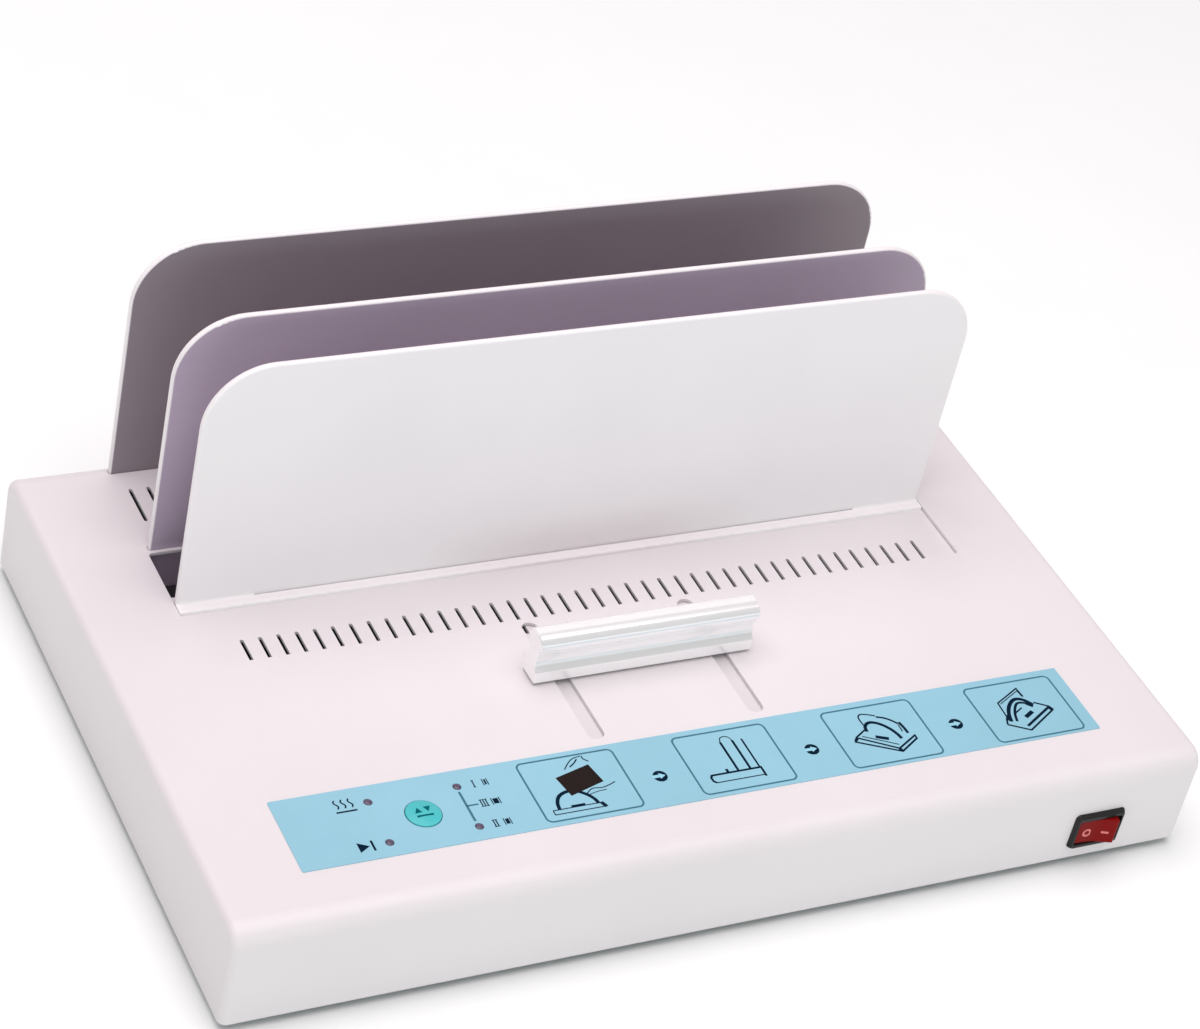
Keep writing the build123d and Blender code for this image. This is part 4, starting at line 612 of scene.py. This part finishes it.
def printed_film(name, colour):
    """Satin film: halftone-fine mottle, a slow drift of tint and a slightly wavy gloss."""
    g = Graph(name)
    drift = g.ranged(g.noise(14.0, 3.0))
    base = g.varied(drift, colour, 0.95, 1.05)
    dots = g.ranged(g.cells(2200.0), 0.0, 0.5, 0.25, 0.0)
    g.colour(g.mixed(dots, base, shaded(colour, 0.86)))
    g.rough(g.noise(120.0, 4.0), 0.30, 0.42)
    g.bump((g.noise(45.0, 2.0), 0.2 * MM, 0.10), (g.noise(2500.0, 2.0), 0.01 * MM, 0.25))
    g.set(Coat_Weight=0.15, Coat_Roughness=0.25)
    return g.material


def ink(name, colour):
    """Screen ink: slightly uneven cover and a matt, fine-grained surface."""
    g = Graph(name)
    cover = g.ranged(g.noise(900.0, 4.0, 0.7), high=0.75)
    g.colour(g.mixed(cover, colour, tuple(c * 1.3 + 0.001 for c in colour)))
    g.rough(g.noise(1500.0), 0.45, 0.60)
    g.bump((g.noise(3000.0, 2.0), 0.01 * MM, 0.3))
    g.set(Specular_IOR_Level=0.03)
    return g.material


def clothe(material, *names):
    """Puts a material on CAD nodes."""
    for name in names:
        node = NODES[name]
        if not node.material_slots:
            node.data.materials.append(material)
        for slot in node.material_slots:
            slot.material = material


# -------- operators

ZINC = (0.60, 0.61, 0.62)


class BINDER_OT_sheet_metal(Operator):
    """Powder-coats the cover, the plates and the sliding panel"""
    bl_idname = "binder.sheet_metal"
    bl_label = "Coat sheet metal"

    def execute(self, context):
        look = context.scene.binder_finish
        clothe(powder_coat("housing_coat", look.coat, look.coat_grain), "cover")
        # The sliding panel gets painted shade where it runs under the cover.
        clothe(powder_coat("panel_coat_and_painted_shade", look.coat, look.coat_grain, under=WELL_FRONT),
               "slide_panel")
        grain = look.coat_grain * 0.8
        clothe(powder_coat("jaw_coat", look.plate_coat, grain, 0.44), "jaw_plate")
        # The middle and the rear plate get painted shade on their flat faces.
        for name, face in (("middle", look.middle_painted_shade), ("rear", look.rear_painted_shade)):
            clothe(powder_coat(f"{name}_plate_coat", look.plate_coat, grain, 0.44, face),
                   f"{name}_plate")
        return {"FINISHED"}


class BINDER_OT_bright_metal(Operator):
    """Finishes the handle, the rails, the brackets and the fasteners"""
    bl_idname = "binder.bright_metal"
    bl_label = "Finish bright metal"

    def execute(self, context):
        look = context.scene.binder_finish
        clothe(brushed_metal("handle_anodised", look.aluminium, (0.4, 200.0, 200.0), rough=0.17,
                             streak=0.015, metal=0.50, depth=0.05), "handle")
        clothe(brushed_metal("ground_rail", (0.62, 0.63, 0.65), (70.0, 2.0, 70.0), 0.14, 0.04),
               "left_rail", "right_rail")
        clothe(brushed_metal("spring_clip", (0.10, 0.10, 0.12), (8.0, 8.0, 8.0), 0.35),
               "rail_clips")
        clothe(plated_steel("zinc_sheet", (0.55, 0.57, 0.59)), "base_plate", "middle_bracket",
               "rear_bracket", "left_rail_bracket", "right_rail_bracket", "left_end_wall",
               "right_end_wall", "heater_clamp")
        clothe(plated_steel("zinc_fastener", ZINC, 0.24), "plate_rivets",
               "bracket_studs", "bracket_nuts", "handle_screws", "slide_block_screws",
               "frame_screws", "heater_clamp_screws", "board_screws", "handle_spacers",
               "control_posts", "power_posts")
        clothe(brushed_metal("tinned_brass", (0.72, 0.66, 0.50), (40.0, 2.0, 40.0), 0.25),
               "rocker_terminals", "inlet_pins")
        clothe(brushed_metal("fuse_case", (0.66, 0.66, 0.68), (2.0, 50.0, 50.0), 0.25),
               "thermal_fuse")
        clothe(brushed_metal("core_laminations", (0.12, 0.12, 0.13), (2.0, 2.0, 90.0), 0.45),
               "transformer")
        return {"FINISHED"}


class BINDER_OT_mouldings(Operator):
    """Gives the plastic, rubber and board parts their materials"""
    bl_idname = "binder.mouldings"
    bl_label = "Finish mouldings"

    def execute(self, context):
        look = context.scene.binder_finish
        clothe(moulded("switch_black", look.black, 0.40, gloss=0.25), "rocker_switch_body")
        clothe(moulded("inlet_black", look.black, 0.45), "power_inlet", "tact_switch", "relay",
               "thermostat")
        clothe(moulded("rocker_red", look.rocker, 0.20, 1600.0, glow=0.05, gloss=0.07), "rocker")
        clothe(moulded("key_teal", look.key, 0.34, 1400.0), "select_button")
        clothe(moulded("lamp_lens", (0.13, 0.10, 0.17), 0.16, 2000.0, clear=0.35),
               "indicator_lamps")
        clothe(moulded("block_nylon", (0.80, 0.78, 0.70), 0.45), "front_left_slide_block",
               "front_right_slide_block", "rear_left_slide_block", "rear_right_slide_block")
        clothe(moulded("foot_rubber", (0.020, 0.020, 0.021), 0.75, 500.0), "foot_front_left",
               "foot_front_right", "foot_rear_left", "foot_rear_right")
        clothe(moulded("terminal_green", (0.03, 0.20, 0.07), 0.4), "terminal_block")
        clothe(laminate("board_green", (0.02, 0.14, 0.05), 260.0, 0.3), "control_board",
               "power_board")
        return {"FINISHED"}


class BINDER_OT_heater(Operator):
    """Finishes the heating plate, the heater and its insulators"""
    bl_idname = "binder.heater"
    bl_label = "Finish heater"

    def execute(self, context):
        clothe(worn_coating("hot_plate_coating", (0.018, 0.018, 0.019)), "heating_plate")
        clothe(laminate("mica", (0.38, 0.31, 0.20)), "heating_element")
        clothe(moulded("steatite", (0.84, 0.82, 0.76), 0.6, 600.0), "insulators")
        return {"FINISHED"}


def placed(points, place):
    """Points of the print, in metres, from millimetre points about a place."""
    return (np.asarray(points, float) + place) * MM + (0.0, FRONT)


def drawn(lines, place, levels):
    """Ink lines about a place of the print; each is (points, width), in millimetres."""
    return [stroke(placed(points, place), width * MM, *levels) for points, width in lines]


def film_settings(context):
    """The finish, the print and the levels of the ink's underside and top on the film."""
    look, size = context.scene.binder_finish, context.scene.binder_print
    return look, size, (FILM_TOP - INK_ROOT, FILM_TOP + size.thickness)


def film_piece(name, parts, ink_name, colour):
    """A new piece of ink on the film."""
    new_piece(name, parts, ink(ink_name, colour), "housing")


class BINDER_OT_film(Operator):
    """Finishes the printed film's ground"""
    bl_idname = "binder.film"
    bl_label = "Finish film"

    def execute(self, context):
        look = context.scene.binder_finish
        clothe(printed_film("film_blue", look.film), "panel_overlay")
        return {"FINISHED"}


# Places of the print, in millimetres to the right of the middle and behind the front wall.
FRAME_PLACES = (-49.0, 11.5, 72.1, 132.8)
FRAME_SHIFTS = (-0.1, -0.4, -0.7, -0.95)  # the row lies a little askew
BRACKET = (  # points and width of its spine and its tick
    ([(-92.0, 31.4), (-92.0, 38.9), (-92.0, 46.0)], 0.9),
    ([(-91.8, 38.9), (-87.7, 38.9)], 0.7),
)
# Place behind, strokes and booklet's thickness of each numeral.
NUMERALS = ((48.6, 1, 0.7), (39.0, 3, 1.9), (28.8, 2, 1.3))
NUMERAL_SIDE, BOOKLET_SIDE = -85.5, -81.1
HEAT_SIGN, END_SIGN = (-133.2, 48.2), (-133.4, 28.6)
ARROW_PLACES = ((-18.9, 36.95), (42.1, 36.95), (102.5, 36.95))
INK_ROOT = 0.01 * MM  # ink starts this far under the film's top
INK_STEP = 0.001 * MM  # from one line's top to the next
ARROW_RISE = 0.02 * MM  # the arrows' tops over their discs


class BINDER_OT_frames(Operator):
    """Prints the frames round the pictograms and the bracket beside the key"""
    bl_idname = "binder.frames"
    bl_label = "Print frames"

    def execute(self, context):
        look, size, levels = film_settings(context)
        middle = size.film_middle / MM
        box = rounded_box_path(size.frame_width, size.frame_depth, size.frame_corner) / MM
        parts = [stroke(placed(box, (x, middle + shift)), size.frame_line, *levels, closed=True)
                 for x, shift in zip(FRAME_PLACES, FRAME_SHIFTS)]
        film_piece("printed_frames", parts + drawn(BRACKET, (0, 0), levels), "line_ink", look.line)
        return {"FINISHED"}


def numeral(place, strokes, levels):
    """A Roman numeral: upright strokes between two serifs."""
    pitch, rise, serif = 1.0, 1.6, 0.5
    span = (strokes - 1) * pitch / 2
    lines = [([(dx, -rise), (dx, rise)], 0.45) for dx in np.linspace(-span, span, strokes)]
    lines += [([(-span - serif, dy), (span + serif, dy)], 0.3) for dy in (-rise, rise)]
    return drawn(lines, place, levels)


def book_mark(place, thick, levels):
    """A closed booklet seen from its end: two covers and a filled block between them."""
    half, rise, cover_rise, cover_gap = thick / 2, 1.25, 1.6, 0.5
    block = [(-half, -rise), (half, -rise), (half, rise), (-half, rise)]
    covers = [([(dx, -cover_rise), (dx, cover_rise)], 0.35)
              for dx in (-half - cover_gap, half + cover_gap)]
    return [patch(placed(block, place), *levels)] + drawn(covers, place, levels)


class BINDER_OT_legends(Operator):
    """Prints the numerals and the small signs beside the lamps"""
    bl_idname = "binder.legends"
    bl_label = "Print legends"

    def execute(self, context):
        look, _, levels = film_settings(context)
        parts = []
        for behind, strokes, thick in NUMERALS:
            parts += numeral((NUMERAL_SIDE, behind), strokes, levels)
            parts += book_mark((BOOKLET_SIDE, behind), thick, levels)
        t = np.linspace(0.0, 1.0, 15)
        heat = [(np.stack([dx + 0.55 * np.sin(2 * np.pi * t), -0.6 + 4.2 * t], axis=1), 0.55)
                for dx in (-2.6, 0.0, 2.6)]
        plate, stop = ([(-3.8, -2.2), (3.8, -2.2)], 0.7), ([(2.8, -2.4), (2.8, 2.4)], 0.8)
        arrow = [(-2.4, -2.3), (1.6, 0.0), (-2.4, 2.3)]
        parts += drawn([*heat, plate], HEAT_SIGN, levels)
        parts += [patch(placed(arrow, END_SIGN), *levels), *drawn([stop], END_SIGN, levels)]
        film_piece("printed_legends", parts, "legend_ink", look.ink)
        return {"FINISHED"}


def pictogram(place, strokes, weight, low, high):
    """Ink lines of one pictogram; each is (points, width, smooth), in millimetres.

    Each line is a little thicker than the one before, so that no two tops coincide.
    """
    parts = []
    for i, (points, width, smooth) in enumerate(strokes):
        line = (smooth_path(points) if smooth else points, width * weight)
        parts += drawn([line], place, (low, high + i * INK_STEP))
    return parts


DROP_COVER_IN = (
    ([(-14.6, -9.7), (4.0, -9.7), (4.7, -11.8), (-14.6, -11.8), (-14.6, -9.7)], 0.42, False),
    ([(3.8, -9.6), (4.9, -12.0)], 1.5, False),
    ([(-7.4, -9.1), (-2.1, -9.1)], 0.9, False),
    ([(-12.1, -9.9), (-11.5, -6.5), (-9.6, -3.5), (-6.2, -2.0), (-2.8, -2.4), (0.2, -4.6),
      (2.1, -7.3), (2.8, -9.9)], 1.35, True),
    ([(-2.1, 8.4), (0.2, 10.9), (2.8, 12.9), (6.2, 13.6)], 0.4, True),
    ([(0.2, 9.2), (2.5, 10.7), (4.3, 12.4)], 0.5, True),
    ([(6.6, 13.6), (6.7, 12.0), (8.1, 10.5)], 0.45, True),
    ([(0.6, -4.6), (3.6, -2.6), (7.4, -2.9), (10.4, -2.2), (13.0, -1.2)], 0.4, True),
    ([(1.3, -5.2), (4.7, -4.4), (8.5, -4.1)], 0.3, True),
)
PUSH_JAW_BACK = (
    ([(7.7, -11.1), (7.7, -6.5), (-12.0, -6.5), (-12.7, -7.6), (-12.6, -9.3), (-11.7, -10.3)],
     0.8, False),
    ([(-11.7, -10.3), (7.3, -10.3)], 0.4, False),
    ([(-5.3, -6.5), (-5.3, -4.6)], 1.0, False),
    ([(-1.2, -6.5), (-1.2, 8.6)], 0.85, False),
    ([(3.6, -6.5), (3.6, 8.6)], 0.85, False),
    ([(7.3, -6.5), (7.3, 8.6)], 0.65, False),
    ([(-1.2, 8.6), (-0.4, 10.5), (1.1, 11.1), (2.8, 10.5), (3.6, 8.6)], 0.35, True),
)
BIND_AND_WAIT = (
    ([(-12.0, -2.2), (-10.5, -0.5), (-5.6, 2.4)], 0.5, False),
    ([(-10.1, -1.0), (2.7, -9.4), (11.8, -4.4), (11.8, -6.0), (3.1, -11.1), (-12.0, -2.7),
      (-10.1, -1.0)], 0.55, False),
    ([(2.7, -9.4), (3.1, -11.1)], 1.0, False),
    ([(-5.2, 1.4), (-4.6, 3.9), (-2.9, 5.4), (-0.7, 5.4), (2.0, 3.7), (4.3, 0.7),
      (5.6, -2.4), (6.1, -4.8)], 0.95, True),
    ([(2.0, 7.8), (4.6, 6.7), (6.9, 4.8), (8.6, 2.6)], 0.6, True),
    ([(9.2, 3.3), (9.7, 0.3), (9.9, -2.7)], 0.8, True),
    ([(-4.8, 4.8), (-4.8, 8.8), (-3.3, 10.3), (-0.7, 9.7), (2.0, 8.4)], 0.4, True),
    ([(-3.3, -1.8), (1.2, -3.9)], 1.1, False),
    ([(-8.2, -0.5), (3.5, -7.5)], 0.3, False),
    ([(8.4, 2.2), (8.2, -1.5)], 0.35, False),
)
COOL_ON_RACK = (
    ([(-10.7, -7.3), (-9.4, -4.3), (-7.7, -2.4)], 0.5, False),
    ([(-3.3, -9.7), (10.1, -2.2)], 0.7, False),
    ([(-10.7, -7.3), (-3.1, -12.0), (10.9, -3.9), (10.5, -1.8), (5.6, 1.4)], 0.5, False),
    ([(10.0, -1.9), (10.9, -3.9)], 1.1, False),
    ([(-8.4, -6.1), (-7.3, -2.4), (-5.4, 1.0), (-2.7, 3.7), (-0.1, 4.6), (2.6, 3.3),
      (4.8, 0.3)], 1.0, True),
    ([(-6.1, -6.5), (-5.0, -3.1), (-3.1, 0.3), (-0.9, 2.4), (1.8, 2.0), (3.3, 0.5)], 0.7,
     True),
    ([(-9.0, -5.4), (-8.4, 4.1), (2.9, 9.9), (3.3, 5.2)], 0.4, False),
    ([(-7.6, 3.4), (2.5, 8.6), (2.9, 5.4)], 0.25, False),
    ([(-1.6, -5.2), (2.6, -2.9)], 1.1, False),
    ([(-4.9, -2.6), (-0.5, -0.2)], 0.4, False),
    ([(2.4, 1.6), (4.4, -0.4)], 1.0, False),
)
PICTOGRAMS = (DROP_COVER_IN, PUSH_JAW_BACK, BIND_AND_WAIT, COOL_ON_RACK)
LINE_WEIGHTS = (1.0, 1.1, 1.4, 1.5)
DARK_BOOKLET = [(-7.0, 5.2), (7.2, 9.0), (9.1, -0.1), (-5.1, -4.3)]


class BINDER_OT_pictograms(Operator):
    """Prints the four pictograms that show how a booklet is bound"""
    bl_idname = "binder.pictograms"
    bl_label = "Print pictograms"

    def execute(self, context):
        look, size, levels = film_settings(context)
        low, high = levels
        middle = size.film_middle / MM
        parts = []
        for x, weight, strokes in zip(FRAME_PLACES, LINE_WEIGHTS, PICTOGRAMS):
            parts += pictogram((x, middle), strokes, weight, low, high)
        film_piece("printed_pictograms", parts, "pictogram_ink", look.ink)
        outline = placed(DARK_BOOKLET, (FRAME_PLACES[0], middle))
        booklet = patch(outline, low, high + size.thickness / 2)
        film_piece("printed_booklet", [booklet], "booklet_ink", look.booklet_ink)
        return {"FINISHED"}


class BINDER_OT_arrows(Operator):
    """Prints the round arrows between the pictograms"""
    bl_idname = "binder.arrows"
    bl_label = "Print arrows"

    def execute(self, context):
        look, size, levels = film_settings(context)
        disc = circle_path(size.arrow_disc / 2 / MM)
        arrow = [(-3.0, -0.6), (-0.2, -0.6), (-0.2, -1.3), (2.1, 0.1), (-0.2, 1.5), (-0.2, 0.8),
                 (-3.0, 0.8)]
        low, high = levels
        discs = [patch(placed(disc, place), low, high) for place in ARROW_PLACES]
        marks = [patch(placed(arrow, place), high, high + ARROW_RISE) for place in ARROW_PLACES]
        film_piece("arrow_discs", discs, "disc_ink", look.ink)
        film_piece("arrow_marks", marks, "arrow_ink", look.film)
        return {"FINISHED"}


KEY_CROWN = 0.22 * MM  # the key's dome falls this far under its sign


class BINDER_OT_key_sign(Operator):
    """Prints the up and down signs on the round key"""
    bl_idname = "binder.key_sign"
    bl_label = "Print key sign"

    def execute(self, context):
        middle = (KEY_LOW + KEY_HIGH) / 2
        place = (middle.x / MM, (middle.y - FRONT) / MM)
        levels = (KEY_HIGH.z - KEY_CROWN, KEY_HIGH.z + INK_ROOT)
        up, down = [(-3.1, 0.0), (-0.5, 0.0), (-1.8, 2.4)], [(0.5, 2.4), (3.1, 2.4), (1.8, 0.0)]
        parts = [patch(placed(sign, place), *levels) for sign in (up, down)]
        parts += drawn([([(-3.0, -1.6), (3.0, -1.6)], 0.7)], place, levels)
        new_piece("key_sign", parts, ink("key_ink", (0.0, 0.10, 0.12)), "select_button")
        return {"FINISHED"}


BAR_WEIGHT = 1.15  # the bar's line over the circle's
RAY_START = 100.0 * MM  # rays start this far in front of the front wall


def front_surface(node, x, z, depsgraph):
    """Y where a level line towards the back first meets a node."""
    start = (x, FRONT - RAY_START, z)
    met, place, _, _ = node.ray_cast(start, (0.0, 1.0, 0.0), depsgraph=depsgraph)
    if not met:
        raise RuntimeError(f"nothing of {node.name} lies behind that place")
    return place.y


class BINDER_OT_rocker_marks(Operator):
    """Prints the circle and the bar on the rocker's two slopes"""
    bl_idname = "binder.rocker_marks"
    bl_label = "Print rocker marks"

    def execute(self, context):
        look, size = context.scene.binder_finish, context.scene.binder_print
        middle = (ROCKER_LOW + ROCKER_HIGH) / 2
        z = middle.z - size.rocker_mark_drop
        levels = (-size.thickness, size.thickness / 2)
        ring = stroke(circle_path(size.rocker_ring / 2), size.rocker_line, *levels, closed=True)
        bar = stroke([(-size.rocker_bar / 2, 0.0), (size.rocker_bar / 2, 0.0)],
                     size.rocker_line * BAR_WEIGHT, *levels)
        depsgraph = context.evaluated_depsgraph_get()
        parts = []
        for x, (points, faces) in ((middle.x - size.rocker_circle_side, ring),
                                   (middle.x + size.rocker_bar_side, bar)):
            left = front_surface(NODES["rocker"], x - MM, z, depsgraph)
            right = front_surface(NODES["rocker"], x + MM, z, depsgraph)
            lean = math.atan2(right - left, 2 * MM)
            along = np.array([math.cos(lean), math.sin(lean), 0.0])
            outward = np.array([math.sin(lean), -math.cos(lean), 0.0])
            place = np.array([x, (left + right) / 2, z])
            turn = np.stack([along, (0.0, 0.0, 1.0), outward])
            parts.append((points @ turn + place, faces))
        new_piece("rocker_marks", parts, ink("rocker_ink", look.rocker_ink), "rocker")
        return {"FINISHED"}


# Node, the way its heads look, and the radius of its shanks.
CROSS_SCREWS = (
    ("base_screws", (0, 0, -1), 1.5 * MM),
    ("foot_screws", (0, 0, -1), 2.0 * MM),
    ("heating_plate_screws", (0, 0, -1), 1.5 * MM),
    ("inlet_screws", (0, 1, 0), 1.5 * MM),
)
CROSS_TURN = 2.4  # radians from one screw's cross to the next


class BINDER_OT_screws(Operator):
    """Cuts crosses in the screws under the machine and in those beside the inlet"""
    bl_idname = "binder.screws"
    bl_label = "Cut screw heads"

    def execute(self, context):
        size = context.scene.binder_screws
        material = plated_steel("zinc_screw_head", ZINC, 0.24)
        side = np.array([1.0, 0.0, 0.0])
        for node, outward, shank in CROSS_SCREWS:
            axis = np.array(outward, float)
            low, high = screw_boxes(NODES[node], axis)
            span = (high - low)[0]
            length = span @ np.abs(axis) - size.head_height
            rings = cross_screw(span[0] / 2, shank, length, size)
            base = np.stack([side, np.cross(axis, side), axis])
            tips = np.where(axis > 0, high, low)
            middles = np.where(axis == 0, (low + high) / 2, tips) - axis * size.head_height
            parts = []
            for turn, middle in zip(CROSS_TURN * np.arange(len(middles)), middles):
                spin = np.array([[math.cos(turn), math.sin(turn), 0.0],
                                 [-math.sin(turn), math.cos(turn), 0.0], [0.0, 0.0, 1.0]])
                parts.append(closed_grid(rings @ spin @ base + middle))
            piece = new_piece(f"cross_{node}", parts, material, "housing", True)
            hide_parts(node)
        return {"FINISHED"}


# Place, the point that it faces, and size of each light.
OVERHEAD = ((-0.20, -0.06, 1.9), (0.0, 0.0, 0.0), (2.4, 2.0))
FRONT_LIGHT = ((-0.3, -2.3, 0.38), (0.0, 0.0, 0.10), (1.8, 0.5))
CAMERA_TURN = (52.3233, -10.7165, -24.8208)  # degrees
SENSOR_WIDTH = 36.0  # millimetres
FAR_CLIP = 50.0  # metres
GLOW_FROM_TO = (1.0, 2.2)  # metres from the middle of the floor
GLOW = 0.9  # strength beyond, for an even background


class BINDER_OT_stage(Operator):
    """Lays the floor, hangs the lights and places the camera"""
    bl_idname = "binder.stage"
    bl_label = "Set stage"

    def execute(self, context):
        scene, stage = context.scene, context.scene.binder_stage
        self.floor(stage)
        self.light("overhead_light", *OVERHEAD, stage.overhead_power, stage.overhead_tint)
        self.light("front_light", *FRONT_LIGHT, stage.front_power, stage.front_tint)
        world = bpy.data.worlds.new("pale_surroundings")
        world.use_nodes = True
        sky = world.node_tree.nodes["Background"]
        sky.inputs["Color"].default_value = (1.0, 1.0, 1.0, 1.0)
        sky.inputs["Strength"].default_value = stage.ambient
        scene.world = world
        scene.view_settings.view_transform = "Standard"
        eye = bpy.data.cameras.new("camera")
        eye.sensor_width = SENSOR_WIDTH
        eye.lens = stage.camera_lens
        eye.clip_end = FAR_CLIP
        camera = in_scene("camera", eye)
        camera.location = (stage.camera_side, FRONT - stage.camera_front, stage.camera_height)
        camera.rotation_euler = np.radians(CAMERA_TURN)
        scene.camera = camera
        return {"FINISHED"}

    def floor(self, stage):
        """A level sheet under the feet: a square grid of points at height zero."""
        half = stage.floor_size / 2
        place = np.linspace(-half, half, 9)
        x, y = np.meshgrid(place, place)
        grid = closed_grid(np.stack([x, y, np.zeros_like(x)], axis=-1), around=False, ends="open")
        g = Graph("pale_floor")
        g.colour(g.varied(g.ranged(g.noise(3.0, 4.0)), stage.floor_colour, 0.985, 1.01))
        g.rough(g.noise(40.0), 0.6, 0.7)
        away = g.node("ShaderNodeVectorMath", operation="LENGTH")
        g.link(g.place, away.inputs[0])
        glow = g.ranged(away.outputs["Value"], *GLOW_FROM_TO, 0.0, GLOW)
        g.link(glow, g.shader.inputs["Emission Strength"])
        g.set(Emission_Color=(1.0, 1.0, 1.0, 1.0))
        g.bump((g.noise(500.0), 0.1 * MM, 0.1))
        new_object("floor", [grid], g.material)

    def light(self, name, place, aim, size, power, tint):
        """A rectangular soft light that faces its aim."""
        lamp = bpy.data.lights.new(name, "AREA")
        lamp.shape = "RECTANGLE"
        lamp.size, lamp.size_y = size
        lamp.energy = power
        lamp.color = tint
        made = in_scene(name, lamp)
        made.location = place
        x, y, z = np.subtract(aim, place)
        made.rotation_euler = (math.atan2(math.hypot(x, y), -z), 0.0,
                               math.atan2(y, x) - math.pi / 2)


class BINDER_PT_panel(Panel):
    """Lists the machine's finishing steps"""
    bl_idname = "BINDER_PT_panel"
    bl_label = "Thermal binder"
    bl_space_type = "VIEW_3D"
    bl_region_type = "UI"
    bl_category = "Binder"

    def draw(self, context):
        column = self.layout.column()
        for group, _ in SETTINGS:
            settings = getattr(context.scene, group)
            for name in settings.bl_rna.properties.keys():
                if name not in {"rna_type", "name"}:
                    column.prop(settings, name)
        for step in STEPS:
            column.operator(step.bl_idname)


STEPS = (
    BINDER_OT_sheet_metal,
    BINDER_OT_bright_metal,
    BINDER_OT_mouldings,
    BINDER_OT_heater,
    BINDER_OT_film,
    BINDER_OT_frames,
    BINDER_OT_legends,
    BINDER_OT_pictograms,
    BINDER_OT_arrows,
    BINDER_OT_key_sign,
    BINDER_OT_rocker_marks,
    BINDER_OT_screws,
    BINDER_OT_stage,
)
SETTINGS = (
    ("binder_finish", BinderFinish),
    ("binder_print", BinderPrint),
    ("binder_screws", BinderScrews),
    ("binder_stage", BinderStage),
)


def register():
    for name, group in SETTINGS:
        bpy.utils.register_class(group)
        setattr(bpy.types.Scene, name, PointerProperty(type=group))
    for step in STEPS:
        bpy.utils.register_class(step)
    bpy.utils.register_class(BINDER_PT_panel)


def unregister():
    bpy.utils.unregister_class(BINDER_PT_panel)
    for step in reversed(STEPS):
        bpy.utils.unregister_class(step)
    for name, group in reversed(SETTINGS):
        delattr(bpy.types.Scene, name)
        bpy.utils.unregister_class(group)


def main():
    register()
    for step in STEPS:
        family, call = step.bl_idname.split(".")
        if getattr(getattr(bpy.ops, family), call)() != {"FINISHED"}:
            raise RuntimeError(f"{step.bl_label} did not finish")


if __name__ == "__main__":
    main()
